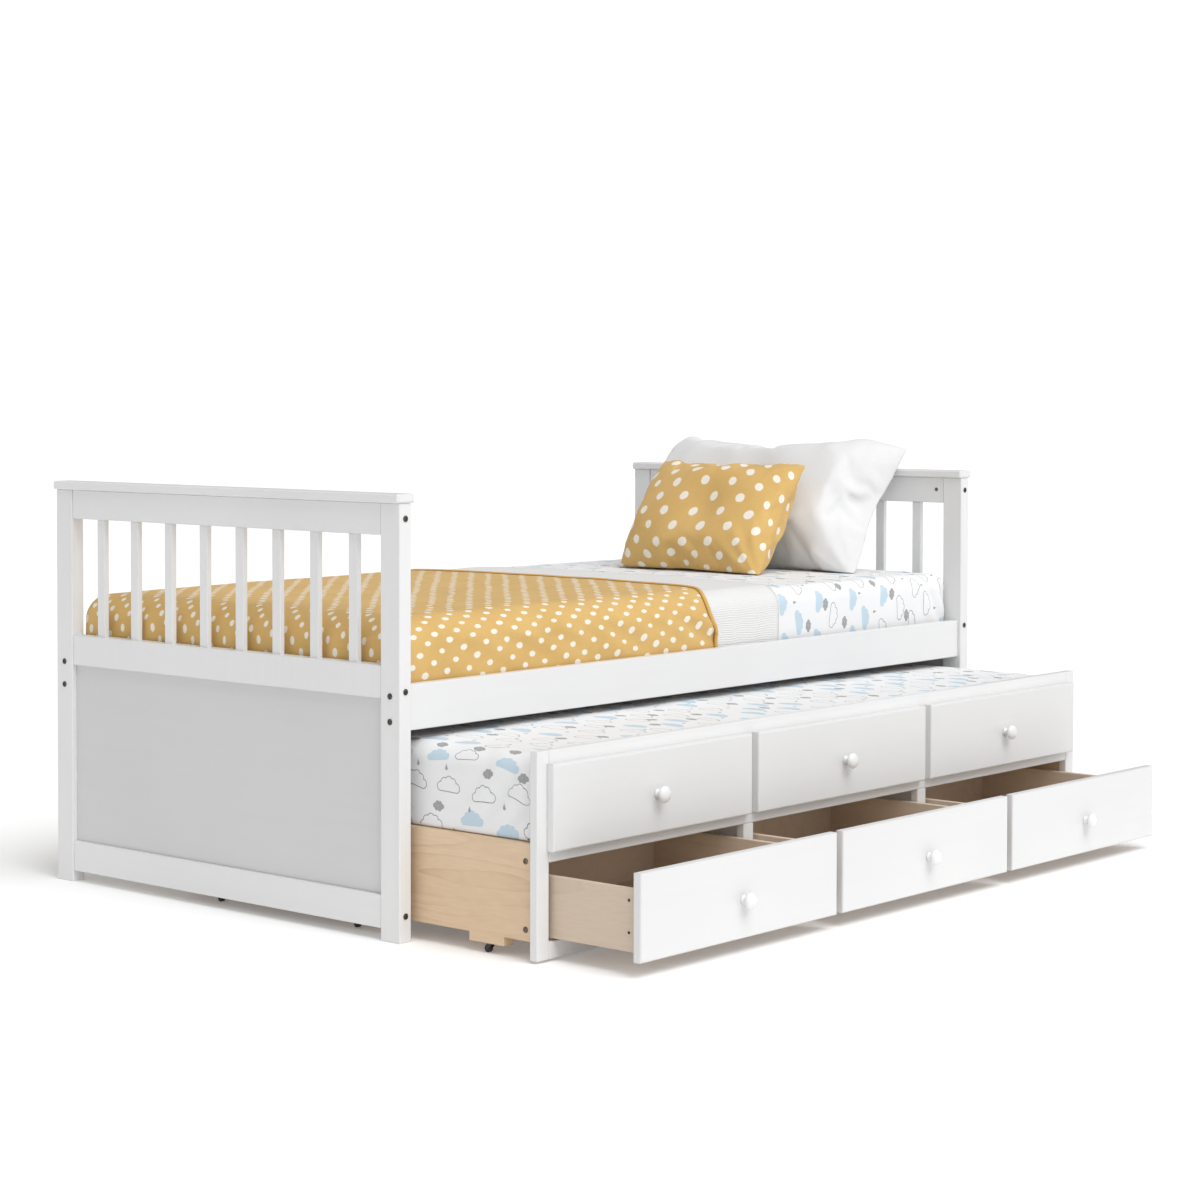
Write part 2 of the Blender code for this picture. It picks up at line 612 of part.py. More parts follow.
def end_board(where, side, trundle):
    """A pine end board with its caster blocks below and the outer drawer runner on its inside."""
    y_low = FRAME_BACK + GAP
    y_high = TRUNDLE_BACK - BACK_BOARD_THICK - GAP
    outer = END_BOARD_X

    def part(x_a, x_b, y_a, y_b, z_a, z_b, ease=0.0):
        x = sorted((side * x_a, side * x_b))
        return board_mesh((x[0], y_a, z_a), (x[1], y_b, z_b), ease)

    meshes = [part(outer, outer - END_BOARD_THICK, y_low, y_high, END_BOARD_FOOT, END_BOARD_TOP, EASE)]
    reach = STILE_WIDTH + DRAWER_SIDE_ROOM + DRAWER_WALL + RUNNER_REACH
    inner = outer - END_BOARD_THICK / 2
    meshes.append(
        part(inner, FRAME_X - reach, y_low, FRAME_BACK + DRAWER_BOX_DEPTH, RUNNER_FOOT, RUNNER_TOP)
    )
    for _, y in CASTER_LINES:
        half = CASTER_BLOCK_LENGTH / 2
        top = END_BOARD_FOOT + 0.003
        meshes.append(
            part(outer - OVERLAP / 4, outer - CASTER_BLOCK_DEPTH, y - half, y + half, CASTER_BLOCK_FOOT, top)
        )
    glued(f"trundle_end_{where}", meshes, PINE, (side * outer, y_low, END_BOARD_FOOT), trundle)


def trundle_deck(trundle):
    y_low = TRUNDLE_BACK - BACK_BOARD_THICK
    board_part = board_mesh((-END_BOARD_X, y_low, END_BOARD_FOOT), (END_BOARD_X, TRUNDLE_BACK, END_BOARD_TOP))
    inner = END_BOARD_X - END_BOARD_THICK - GAP
    ledge_top = DECK_FOOT - GAP
    ledge_low = (-inner, y_low - DECK_LEDGE, ledge_top - DECK_LEDGE)
    ledge = board_mesh(ledge_low, (inner, y_low + DECK_LEDGE / 4, ledge_top), 0.0)
    glued("trundle_back_board", [board_part, ledge], PINE, (0, y_low, END_BOARD_FOOT), trundle)
    front = FRAME_BACK + GAP
    back = y_low - GAP
    slat_roll("trundle_slats", DECK_SLAT_COUNT, inner, front, back, DECK_FOOT, PINE, trundle)
    x_end = END_BOARD_X - TRUNDLE_MATTRESS_OVER
    low = (-x_end, front + GAP, DECK_TOP + GAP)
    high = (x_end, TRUNDLE_BACK - GAP, TRUNDLE_MATTRESS_TOP)
    mattress("trundle_mattress", low, high, trundle, 0.022)


def sham_front(where, x, trundle):
    back = FACE_Y - GAP
    low = (x - SHAM_WIDTH / 2, back - SHAM_THICK, SHAM_FOOT)
    mesh = front_mesh(low, (x + SHAM_WIDTH / 2, back, SHAM_TOP))
    place(mesh, f"sham_front_{where}", WHITE_PAINT, (x, back, SHAM_FOOT), trundle)
    knob(f"sham_knob_{where}", x, back - SHAM_THICK - GAP, SHAM_KNOB_HEIGHT, trundle)


def drawer(where, x, trundle):
    """A drawer pulled out by DRAWER_OUT: front, box of sides, back and bottom, and knob."""
    back = DRAWER_BACK_OF_FRONT
    slide = pivot(f"drawer_{where}_slide", (x, back, DRAWER_FRONT_FOOT), trundle)
    low = (x - SHAM_WIDTH / 2, back - DRAWER_FRONT_THICK, DRAWER_FRONT_FOOT)
    mesh = front_mesh(low, (x + SHAM_WIDTH / 2, back, DRAWER_FRONT_TOP))
    place(mesh, f"drawer_front_{where}", WHITE_PAINT, (x, back, DRAWER_FRONT_FOOT), slide)
    knob(f"drawer_knob_{where}", x, back - DRAWER_FRONT_THICK - GAP, DRAWER_KNOB_HEIGHT, slide)
    x_low, x_high = drawer_sides(x)
    z_low = RUNNER_TOP + GAP
    y_low = back + GAP
    y_high = back + DRAWER_BOX_DEPTH
    sides = [
        board_mesh((a, y_low, z_low), (a + DRAWER_WALL, y_high, DRAWER_BOX_TOP), 0.001)
        for a in (x_low, x_high - DRAWER_WALL)
    ]
    inner = (x_low + DRAWER_WALL * 2 / 3, x_high - DRAWER_WALL * 2 / 3)  # ends housed in the sides
    rear_y = y_high - DRAWER_WALL / 4
    rear_low = (inner[0], rear_y - DRAWER_WALL, z_low + DRAWER_WALL / 3)
    rear = board_mesh(rear_low, (inner[1], rear_y, DRAWER_BOX_TOP - DRAWER_WALL / 4), 0.0)
    z_floor = z_low + DRAWER_BOTTOM_RISE
    floor = board_mesh(
        (inner[0] + 0.001, y_low + 0.002, z_floor),
        (inner[1] - 0.001, rear_y - DRAWER_WALL / 2, z_floor + DRAWER_BOTTOM_THICK),
        0.0,
    )
    glued(f"drawer_box_{where}", [floor, sides[0], sides[1], rear], DRAWER_WOOD, (x, y_low, z_low), slide)


def caster(where, side, y, trundle):
    """Swivel fork with its axle, and the wheel that turns on it. The wheel trails towards +Y."""
    top = CASTER_BLOCK_FOOT - GAP
    x = side * (END_BOARD_X - CASTER_BLOCK_DEPTH / 2)
    swivel = pivot(f"caster_{where}_swivel", (x, y, top), trundle)
    disc = rod_mesh((x, y, top - FORK_DISC_THICK), (x, y, top), FORK_DISC_RADIUS, 20)
    axle_y = y + WHEEL_TRAIL
    arm_in = WHEEL_WIDTH / 2 + FORK_ROOM
    arm_out = arm_in + FORK_ARM
    shapes = [disc]
    for hand in (-1, 1):
        arm_x = sorted((x + hand * arm_in, x + hand * arm_out))
        outline = (
            (y - 0.0055, top - FORK_DISC_THICK + 0.0005),
            (axle_y - 0.003, WHEEL_RADIUS - 0.003),
            (axle_y + 0.003, WHEEL_RADIUS - 0.003),
            (y + 0.0075, top - FORK_DISC_THICK + 0.0005),
        )
        shapes.append(prism_mesh(outline, 0, *arm_x))
    hub = Vector((x, axle_y, WHEEL_RADIUS))
    across = Vector((1, 0, 0))
    reach = arm_in + FORK_ARM / 2
    shapes.append(rod_mesh(hub - reach * across, hub + reach * across, AXLE_RADIUS, 12))
    glued(f"caster_fork_{where}", shapes, CASTER_BLACK, (x, y, top), swivel)
    axle = pivot(f"caster_{where}_axle", hub, swivel)
    half = WHEEL_WIDTH / 2 * across
    tyre = rod_mesh(hub - half, hub + half, WHEEL_RADIUS, 24)
    bore = rod_mesh(hub - 2 * half, hub + 2 * half, AXLE_RADIUS + AXLE_ROOM, 12)
    wheel = place(tyre, f"caster_wheel_{where}", CASTER_BLACK, hub, axle)
    boolean(wheel, [bore], "DIFFERENCE")


def main():
    for found in list(bpy.data.objects):
        bpy.data.objects.remove(found)
    bed_end("foot", -1)
    bed_end("head", 1)
    side_rail("front", -1)
    side_rail("back", 1)
    inner_front = FRONT_Y + SIDE_RAIL_SETBACK + SIDE_RAIL_THICK
    inner_back = BACK_Y - SIDE_RAIL_SETBACK - SIDE_RAIL_THICK
    slat_roll(
        "bed_slats", SLAT_COUNT, INNER_X - SLAT_END_ROOM, inner_front + GAP, inner_back - GAP, SLAT_FOOT, PINE
    )
    low = (-MATTRESS_X, MATTRESS_FRONT, MATTRESS_FOOT)
    mattress("mattress", low, (MATTRESS_X, MATTRESS_BACK, MATTRESS_TOP))
    hem = -MATTRESS_X + COVERLET_LENGTH
    tucked_cloth("coverlet", None, hem, COVERLET_THICK, COVERLET_CLOTH)
    tucked_cloth("blanket", hem + GAP, hem + GAP + BLANKET_SHOWS, BLANKET_THICK, PILLOW_CLOTH)
    pillows()
    trundle = pivot("trundle_slide", (0, FACE_Y, 0))
    face_frame(trundle)
    for where, side in (("left", -1), ("right", 1)):
        partition(where, side * SHAM_PITCH / 2, trundle)
        end_board(where, side, trundle)
        for line, y in CASTER_LINES:
            caster(f"{where}_{line}", side, y, trundle)
    trundle_deck(trundle)
    for where, x in columns():
        sham_front(where, x, trundle)
        drawer(where, x, trundle)


main()
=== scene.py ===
import math

import bmesh
import bpy
import numpy as np
from mathutils import Matrix, Vector, noise


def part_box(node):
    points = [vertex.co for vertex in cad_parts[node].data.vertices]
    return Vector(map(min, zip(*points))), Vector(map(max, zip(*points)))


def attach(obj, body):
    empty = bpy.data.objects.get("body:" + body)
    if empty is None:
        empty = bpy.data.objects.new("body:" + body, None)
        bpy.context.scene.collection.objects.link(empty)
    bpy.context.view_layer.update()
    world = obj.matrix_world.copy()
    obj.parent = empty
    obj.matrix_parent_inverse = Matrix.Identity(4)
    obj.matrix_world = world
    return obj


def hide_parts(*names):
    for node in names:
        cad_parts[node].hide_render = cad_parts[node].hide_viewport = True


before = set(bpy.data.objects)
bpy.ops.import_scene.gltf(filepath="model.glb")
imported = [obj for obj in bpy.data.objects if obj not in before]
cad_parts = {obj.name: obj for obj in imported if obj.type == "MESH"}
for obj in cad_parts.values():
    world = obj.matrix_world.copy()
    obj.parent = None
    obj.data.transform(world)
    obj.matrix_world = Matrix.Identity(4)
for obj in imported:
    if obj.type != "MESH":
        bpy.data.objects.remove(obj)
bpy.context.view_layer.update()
print("frame loaded,", len(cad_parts), "nodes")


# Small helpers for node trees

class Wiring:
    def __init__(self, tree):
        self.tree = tree

    def feed(self, socket, value):
        if isinstance(value, bpy.types.NodeSocket):
            self.tree.links.new(value, socket)
        else:
            socket.default_value = value

    def add(self, kind, inputs=None, **settings):
        node = self.tree.nodes.new(kind)
        for name, value in settings.items():
            setattr(node, name, value)
        for key, value in (inputs or {}).items():
            self.feed(node.inputs[key], value)
        return node

    def make(self, kind, inputs=None, **settings):
        return self.add(kind, inputs, **settings).outputs[0]

    def calc(self, operation, *values):
        return self.make("ShaderNodeMath", dict(enumerate(values)), operation=operation)

    def times(self, *values):
        return self.calc("MULTIPLY", *values)

    def plus(self, *values):
        return self.calc("ADD", *values)

    def minus(self, *values):
        return self.calc("SUBTRACT", *values)

    def vec(self, operation, *values, number=False):
        node = self.add("ShaderNodeVectorMath", dict(enumerate(values)), operation=operation)
        return node.outputs["Value" if number else "Vector"]

    def length(self, vector):
        return self.vec("LENGTH", vector, number=True)

    def split(self, vector):
        return self.add("ShaderNodeSeparateXYZ", {0: vector}).outputs

    def join(self, x=0.0, y=0.0, z=0.0):
        return self.make("ShaderNodeCombineXYZ", {0: x, 1: y, 2: z})

    def turn(self, vector, angle):
        inputs = {"Vector": vector, "Angle": angle}
        return self.make("ShaderNodeVectorRotate", inputs, rotation_type="Z_AXIS")

    def blend(self, mask, first, second):
        node = self.add("ShaderNodeMix", data_type="RGBA")
        for socket, value in zip((node.inputs[0], node.inputs[6], node.inputs[7]), (mask, first, second)):
            self.feed(socket, (*value, 1.0) if isinstance(value, tuple) else value)
        return node.outputs[2]

    def ramp(self, value, low, high, toLow=0.0, toHigh=1.0):
        return self.make("ShaderNodeMapRange", {0: value, 1: low, 2: high, 3: toLow, 4: toHigh})

    def spread(self, chance, amount):
        # a random number from 0 to 1 becomes a shift of up to this amount either way
        return self.ramp(chance, 0.0, 1.0, -amount, amount)

    def onPiece(self):
        return self.add("ShaderNodeTexCoord").outputs["Object"]

    def cloudy(self, vector, scale, detail=3.0, rough=0.5):
        inputs = {"Vector": vector, "Scale": scale, "Detail": detail, "Roughness": rough}
        return self.make("ShaderNodeTexNoise", inputs)


def newTree(kind, name, inputs, outputs):
    # each input is (label, kind) or (label, kind, value), each output (label, kind)
    tree = bpy.data.node_groups.new(name, kind)
    for side, sockets in (("INPUT", inputs), ("OUTPUT", outputs)):
        for label, socketKind, *value in sockets:
            socket = tree.interface.new_socket(label, in_out=side, socket_type="NodeSocket" + socketKind)
            if value:
                socket.default_value = value[0]
    w = Wiring(tree)
    return tree, w, w.add("NodeGroupInput").outputs, w.add("NodeGroupOutput").inputs


# Shader groups: paint skin, edge wear, wood grain, weave, dots and cloud print

def paintSkinGroup():
    tree, w, given, result = newTree(
        "ShaderNodeTree", "paintSkin", [("Along", "Vector"), ("Grain", "Float", 0.3)],
        [("Shade", "Float"), ("Gloss", "Float"), ("Height", "Float")])
    plain = w.onPiece()
    grain = w.cloudy(w.vec("MULTIPLY", plain, given["Along"]), 1.0, 4.0)
    peel = w.cloudy(plain, 420.0, 2.0)
    broad = w.cloudy(plain, 2.3, 2.0)
    w.feed(result["Shade"], w.plus(w.times(broad, 0.7), w.times(grain, 0.3)))
    w.feed(result["Gloss"], w.cloudy(plain, 34.0, 4.0))
    w.feed(result["Height"], w.plus(w.times(grain, given["Grain"]), w.times(peel, 0.5)))
    return tree


def edgeWearGroup():
    tree, w, given, result = newTree(
        "ShaderNodeTree", "edgeWear", [("Radius", "Float", 0.002)], [("Mask", "Float"), ("Normal", "Vector")])
    soft = w.make("ShaderNodeBevel", {"Radius": given["Radius"]}, samples=4)
    flat = w.add("ShaderNodeNewGeometry").outputs["Normal"]
    bent = w.minus(1.0, w.vec("DOT_PRODUCT", soft, flat, number=True))
    spots = w.cloudy(w.onPiece(), 46.0, 3.0)
    w.feed(result["Mask"], w.times(w.ramp(bent, 0.02, 0.3), w.ramp(spots, 0.35, 0.7)))
    w.feed(result["Normal"], soft)
    return tree


def woodGrainGroup():
    tree, w, given, result = newTree(
        "ShaderNodeTree", "woodGrain", [("Along", "Vector"), ("Across", "Vector"), ("Rings", "Float", 9.0)],
        [("Grain", "Float"), ("Fibre", "Float"), ("Broad", "Float"), ("Height", "Float")])
    plain = w.onPiece()
    slow = w.cloudy(w.vec("MULTIPLY", plain, given["Across"]), 1.0, 2.0, 0.45)
    curl = w.cloudy(w.vec("MULTIPLY", plain, given["Along"]), 1.0, 3.0, 0.5)
    field = w.plus(slow, w.times(curl, 0.09))
    turned = w.calc("FRACT", w.times(field, given["Rings"]))
    late = w.calc("POWER", turned, 4.0)
    fibre = w.cloudy(w.vec("MULTIPLY", w.vec("MULTIPLY", plain, given["Along"]), (9.0, 9.0, 9.0)), 1.0, 5.0, 0.62)
    broad = w.cloudy(w.vec("MULTIPLY", plain, given["Across"]), 0.45, 2.0)
    w.feed(result["Grain"], w.times(late, w.ramp(w.cloudy(plain, 7.0), 0.3, 0.65)))
    w.feed(result["Fibre"], fibre)
    w.feed(result["Broad"], broad)
    w.feed(result["Height"], w.plus(w.times(late, 0.4), w.times(fibre, 0.6)))
    return tree


def weaveGroup():
    tree, w, given, result = newTree(
        "ShaderNodeTree", "weave", [("Vector", "Vector"), ("Thread", "Float", 0.0012), ("Slub", "Float", 0.4)],
        [("Height", "Float"), ("Shade", "Float")])
    turns = w.calc("DIVIDE", math.pi, given["Thread"])
    x, y, _ = w.split(given["Vector"])
    warp = w.calc("SINE", w.times(x, turns))
    weft = w.calc("SINE", w.times(y, turns))
    over = w.calc("ABSOLUTE", w.times(warp, weft))
    slubs = w.cloudy(w.vec("MULTIPLY", given["Vector"], (70.0, 700.0, 1.0)), 1.0, 3.0)
    cross = w.cloudy(w.vec("MULTIPLY", given["Vector"], (700.0, 70.0, 1.0)), 1.0, 3.0)
    uneven = w.times(w.plus(slubs, cross), 0.5)
    w.feed(result["Height"], w.plus(over, w.times(uneven, given["Slub"])))
    w.feed(result["Shade"], uneven)
    return tree


def brickCell(w, vector, pitch, row, shift=0.0):
    x, y, _ = w.split(vector)
    line = w.calc("FLOOR", w.plus(w.calc("DIVIDE", y, row), shift))
    slide = w.times(w.calc("PINGPONG", line, 1.0), 0.5)
    place = w.plus(w.plus(w.calc("DIVIDE", x, pitch), slide), shift)
    column = w.calc("FLOOR", place)
    dx = w.times(w.minus(w.minus(place, column), 0.5), pitch)
    inRow = w.minus(w.plus(w.calc("DIVIDE", y, row), shift), line)
    dy = w.times(w.minus(inRow, 0.5), row)
    cell = w.join(column, line, shift * 7 + 3.0)
    chance = w.add("ShaderNodeTexWhiteNoise", {"Vector": cell}, noise_dimensions="3D")
    return dx, dy, w.split(chance.outputs["Color"]), chance.outputs["Value"]


def scattered(w, dx, dy, chance, reach):
    return w.plus(dx, w.spread(chance[0], reach[0])), w.plus(dy, w.spread(chance[1], reach[1]))


dotPrint = {"scatter": (0.0018, 0.0022), "ragged": 0.0022, "sizes": (0.9, 1.1), "soft": 0.0004}


def dotPrintGroup():
    tree, w, given, result = newTree(
        "ShaderNodeTree", "dotPrint",
        [("Vector", "Vector"), ("Pitch", "Float", 0.03), ("Row", "Float", 0.044), ("Turn", "Float", 0.0),
         ("Radius", "Float", 0.007), ("Stretch", "Vector", (1.0, 1.0, 1.0))], [("Mask", "Float")])
    turned = w.turn(given["Vector"], given["Turn"])
    dx, dy, chance, _ = brickCell(w, turned, given["Pitch"], given["Row"])
    dx, dy = scattered(w, dx, dy, chance, dotPrint["scatter"])
    ragged = w.times(w.minus(w.cloudy(given["Vector"], 190.0, 2.0), 0.5), dotPrint["ragged"])
    back = w.turn(w.join(dx, dy), w.times(given["Turn"], -1.0))
    reach = w.plus(w.length(w.vec("DIVIDE", back, given["Stretch"])), ragged)
    limit = w.times(given["Radius"], w.ramp(chance[2], 0.0, 1.0, *dotPrint["sizes"]))
    w.feed(result["Mask"], w.ramp(w.minus(limit, reach), -dotPrint["soft"], dotPrint["soft"]))
    return tree


cloudPrint = {
    # circles as (x, y, radius) in metres, round the middle of a motif
    "wide": ((-0.0215, -0.0050, 0.0090), (-0.0125, 0.0040, 0.0090), (-0.0005, 0.0075, 0.0092),
             (0.0108, 0.0045, 0.0082), (0.0200, -0.0045, 0.0085)),
    "small": ((-0.009, 0.001, 0.0055), (-0.003, 0.006, 0.0050), (0.004, 0.005, 0.0052), (0.010, 0.000, 0.0052),
              (0.003, -0.004, 0.0062), (-0.005, -0.004, 0.0050)),
    "wideScatter": (0.012, 0.010), "wideSway": 0.22, "wideMerge": 0.0012, "blueShare": 0.47,
    "baseHalf": 0.0195, "baseDrop": 0.0055, "baseRadius": 0.0085,
    "greyScatter": (0.016, 0.009), "greySize": 1.02, "greyMerge": 0.001, "greyShare": 0.38,
    "dropRadius": 0.0036, "dropSink": 0.002, "dropTip": 0.0072, "dropSlope": 0.4, "dropCut": -0.001, "soft": 0.0004,
}


def circleField(w, point, shape, size, merge):
    field = None
    for x, y, radius in cloudPrint[shape]:
        gap = w.minus(w.vec("DISTANCE", point, (x * size, y * size, 0.0), number=True), radius * size)
        field = gap if field is None else w.calc("SMOOTH_MIN", field, gap, merge)
    return field


def cloudPrintGroup():
    tree, w, given, result = newTree(
        "ShaderNodeTree", "cloudPrint",
        [("Vector", "Vector"), ("Pitch", "Float", 0.092), ("Row", "Float", 0.066), ("Line", "Float", 0.0007)],
        [("Blue", "Float"), ("Outline", "Float"), ("Grey", "Float")])
    soft = cloudPrint["soft"]
    # first layer: blue clouds and outlined clouds
    dx, dy, chance, one = brickCell(w, given["Vector"], given["Pitch"], given["Row"])
    dx, dy = scattered(w, dx, dy, chance, cloudPrint["wideScatter"])
    point = w.turn(w.join(dx, dy), w.spread(chance[2], cloudPrint["wideSway"]))
    field = circleField(w, point, "wide", 1.0, cloudPrint["wideMerge"])
    along, height, _ = w.split(point)
    past = w.calc("MAXIMUM", w.minus(w.calc("ABSOLUTE", along), cloudPrint["baseHalf"]), 0.0)
    base = w.minus(w.length(w.join(past, w.plus(height, cloudPrint["baseDrop"]))), cloudPrint["baseRadius"])
    field = w.calc("MINIMUM", field, base)  # the long flat underside
    isBlue = w.calc("LESS_THAN", one, cloudPrint["blueShare"])
    inside = w.ramp(field, soft, -soft)
    line = w.ramp(w.minus(w.calc("ABSOLUTE", field), given["Line"]), soft, -soft)
    w.feed(result["Blue"], w.times(inside, isBlue))
    w.feed(result["Outline"], w.times(line, w.minus(1.0, isBlue)))
    # second layer, half a motif away: small grey clouds and raindrops
    dx, dy, chance, one = brickCell(w, given["Vector"], given["Pitch"], given["Row"], 0.5)
    dx, dy = scattered(w, dx, dy, chance, cloudPrint["greyScatter"])
    puff = circleField(w, w.join(dx, dy), "small", cloudPrint["greySize"], cloudPrint["greyMerge"])
    isPuff = w.calc("LESS_THAN", one, cloudPrint["greyShare"])
    bead = w.minus(w.length(w.join(dx, w.plus(dy, cloudPrint["dropSink"]))), cloudPrint["dropRadius"])
    taper = w.minus(w.calc("ABSOLUTE", dx), w.times(w.minus(cloudPrint["dropTip"], dy), cloudPrint["dropSlope"]))
    cone = w.calc("MAXIMUM", taper, w.minus(cloudPrint["dropCut"], dy))
    drop = w.calc("MINIMUM", bead, cone)
    chosen = w.plus(w.times(puff, isPuff), w.times(drop, w.minus(1.0, isPuff)))
    w.feed(result["Grey"], w.ramp(chosen, soft, -soft))
    return tree


groups = {
    "paint": paintSkinGroup(), "wear": edgeWearGroup(), "wood": woodGrainGroup(), "weave": weaveGroup(),
    "dots": dotPrintGroup(), "clouds": cloudPrintGroup(),
}
print("shader groups built:", len(groups))


# Materials

def newMaterial(name):
    made = bpy.data.materials.new(name)
    made.use_nodes = True
    w = Wiring(made.node_tree)
    made.node_tree.nodes.clear()
    shader = w.add("ShaderNodeBsdfPrincipled")
    out = w.add("ShaderNodeOutputMaterial")
    made.node_tree.links.new(shader.outputs[0], out.inputs[0])
    return made, w, shader


def useGroup(w, name, **values):
    node = w.add("ShaderNodeGroup", node_tree=groups[name])
    for label, value in values.items():
        w.feed(node.inputs[label], value)
    return node.outputs


def addBump(w, shader, height, strength, distance, normal=None):
    bump = w.add("ShaderNodeBump", {"Strength": strength, "Distance": distance, "Height": height})
    if normal is not None:
        w.feed(bump.inputs["Normal"], normal)
    w.feed(shader.inputs["Normal"], bump.outputs[0])


def drawnOut(axis, along, across):
    # scales of a pattern that runs along one axis
    return tuple(along if letter == axis else across for letter in "xyz")


def finishHard(w, shader, wear, wearShare, base, worn, gloss, rough, height, strength, distance):
    w.feed(shader.inputs["Base Color"], w.blend(w.times(wear["Mask"], wearShare), base, worn))
    w.feed(shader.inputs["Roughness"], w.ramp(gloss, 0.3, 0.7, *rough))
    addBump(w, shader, height, strength, distance, wear["Normal"])


def paintMaterial(name, along, light, dark, worn, rough=0.36, grain=0.25, soften=0.0016):
    made, w, shader = newMaterial(name)
    skin = useGroup(w, "paint", Along=drawnOut(along, 2.2, 60.0), Grain=grain)
    wear = useGroup(w, "wear", Radius=soften)
    tone = w.blend(w.ramp(skin["Shade"], 0.35, 0.65), dark, light)
    shader.inputs["Coat Weight"].default_value = 0.12
    shader.inputs["Coat Roughness"].default_value = 0.22
    roughs = (rough - 0.05, rough + 0.07)
    finishHard(w, shader, wear, 0.5, tone, worn, skin["Gloss"], roughs, skin["Height"], 0.10, 0.0004)
    return made


def woodMaterial(name, along, pale, mid, deep, rings=9.0, strength=0.5, rough=0.55):
    made, w, shader = newMaterial(name)
    wood = useGroup(w, "wood", Along=drawnOut(along, 2.6, 22.0), Across=drawnOut(along, 0.9, 9.0), Rings=rings)
    wear = useGroup(w, "wear", Radius=0.0012)
    base = w.blend(w.ramp(wood["Broad"], 0.3, 0.7), pale, mid)
    base = w.blend(w.times(wood["Grain"], strength), base, deep)
    base = w.blend(w.ramp(wood["Fibre"], 0.35, 0.75, 0.0, 0.22), base, deep)
    roughs = (rough - 0.08, rough + 0.1)
    finishHard(w, shader, wear, 0.35, base, deep, wood["Fibre"], roughs, wood["Height"], 0.18, 0.0005)
    return made


def metalMaterial(name, light, dark, rough):
    made, w, shader = newMaterial(name)
    plain = w.onPiece()
    grain = w.cloudy(plain, 900.0)
    wear = useGroup(w, "wear", Radius=0.0004)
    base = w.blend(w.ramp(w.cloudy(plain, 160.0, 4.0), 0.35, 0.65), dark, light)
    shader.inputs["Metallic"].default_value = 1.0
    bright = tuple(min(1.0, c * 1.6) for c in light)
    finishHard(w, shader, wear, 1.0, base, bright, grain, (rough - 0.08, rough + 0.1), grain, 0.12, 0.0001)
    return made


def plasticMaterial(name, light, dark, rough):
    made, w, shader = newMaterial(name)
    plain = w.onPiece()
    grain = w.cloudy(plain, 700.0)
    wear = useGroup(w, "wear", Radius=0.0006)
    base = w.blend(w.ramp(w.cloudy(plain, 90.0), 0.35, 0.65), dark, light)
    rubbed = tuple(c * 3 for c in light)
    finishHard(w, shader, wear, 0.6, base, rubbed, grain, (rough - 0.06, rough + 0.1), grain, 0.15, 0.0002)
    return made


def clothBase(name, sheen, thread, slub):
    made, w, shader = newMaterial(name)
    shader.inputs["Sheen Weight"].default_value = sheen
    shader.inputs["Sheen Roughness"].default_value = 0.5
    shader.inputs["Specular IOR Level"].default_value = 0.25
    where = w.make("ShaderNodeUVMap", uv_map="clothMap")
    return made, w, shader, where, useGroup(w, "weave", Vector=where, Thread=thread, Slub=slub)


def finishCloth(w, shader, weave, colour, shade, rough, bump, saturation=1.04, distance=0.0004, mask=None,
                height=None):
    deep = w.make("ShaderNodeHueSaturation", {"Value": shade, "Saturation": saturation, "Color": colour})
    w.feed(shader.inputs["Base Color"], w.blend(mask or w.ramp(weave["Shade"], 0.35, 0.65), deep, colour))
    w.feed(shader.inputs["Roughness"], w.ramp(weave["Shade"], 0.3, 0.7, rough - 0.06, rough + 0.06))
    addBump(w, shader, height or weave["Height"], bump, distance)


sheetTones = {"ground": (0.85, 0.853, 0.86), "blue": (0.55, 0.675, 0.765), "line": (0.17, 0.17, 0.18),
              "grey": (0.335, 0.335, 0.345), "greyShare": 0.93}


def sheetMaterial(name):
    made, w, shader, where, weave = clothBase(name, 0.08, 0.0009, 0.5)
    motif = useGroup(w, "clouds", Vector=where)
    colour = w.blend(motif["Blue"], sheetTones["ground"], sheetTones["blue"])
    colour = w.blend(motif["Outline"], colour, sheetTones["line"])
    colour = w.blend(w.times(motif["Grey"], sheetTones["greyShare"]), colour, sheetTones["grey"])
    finishCloth(w, shader, weave, colour, 0.965, 0.8, 0.22)
    return made


dottedTones = {"deep": (0.655, 0.425, 0.152), "light": (0.72, 0.475, 0.178), "dot": (0.90, 0.86, 0.77),
               "dotShare": 0.96}


def dottedMaterial(name, thread, **lattice):
    made, w, shader, where, weave = clothBase(name, 0.12, thread, 0.6)
    dots = useGroup(w, "dots", Vector=where, **lattice)
    ground = w.blend(w.ramp(w.cloudy(where, 9.0), 0.3, 0.7), dottedTones["deep"], dottedTones["light"])
    colour = w.blend(w.times(dots["Mask"], dottedTones["dotShare"]), ground, dottedTones["dot"])
    finishCloth(w, shader, weave, colour, 0.93, 0.78, 0.3)
    return made


def plainClothMaterial(name, light, shade, thread, ribs=0.0, bump=0.3):
    made, w, shader, where, weave = clothBase(name, 0.1, thread, 0.8)
    colour = w.blend(w.ramp(w.cloudy(where, 6.0), 0.3, 0.7), tuple(c * 0.985 for c in light), light)
    mask = height = None
    if ribs:
        wobble = w.times(w.cloudy(where, 14.0, 2.0), 0.012)
        line = w.calc("SINE", w.times(w.plus(w.split(where)[0], wobble), 2 * math.pi / ribs))
        height = w.plus(w.times(weave["Height"], 0.25), line)
        # rib valleys take the darker shade colour, ridges the light one: painted shade in the grooves, on top of the
        # ribs' bump
        mask = w.times(w.ramp(line, -1.0, 0.4), w.ramp(weave["Shade"], 0.3, 0.6, 0.6, 1.0))
    finishCloth(w, shader, weave, colour, shade, 0.82, bump, 1.0, 0.0006, mask, height)
    return made


def grey(tone):
    return (tone, tone, tone)


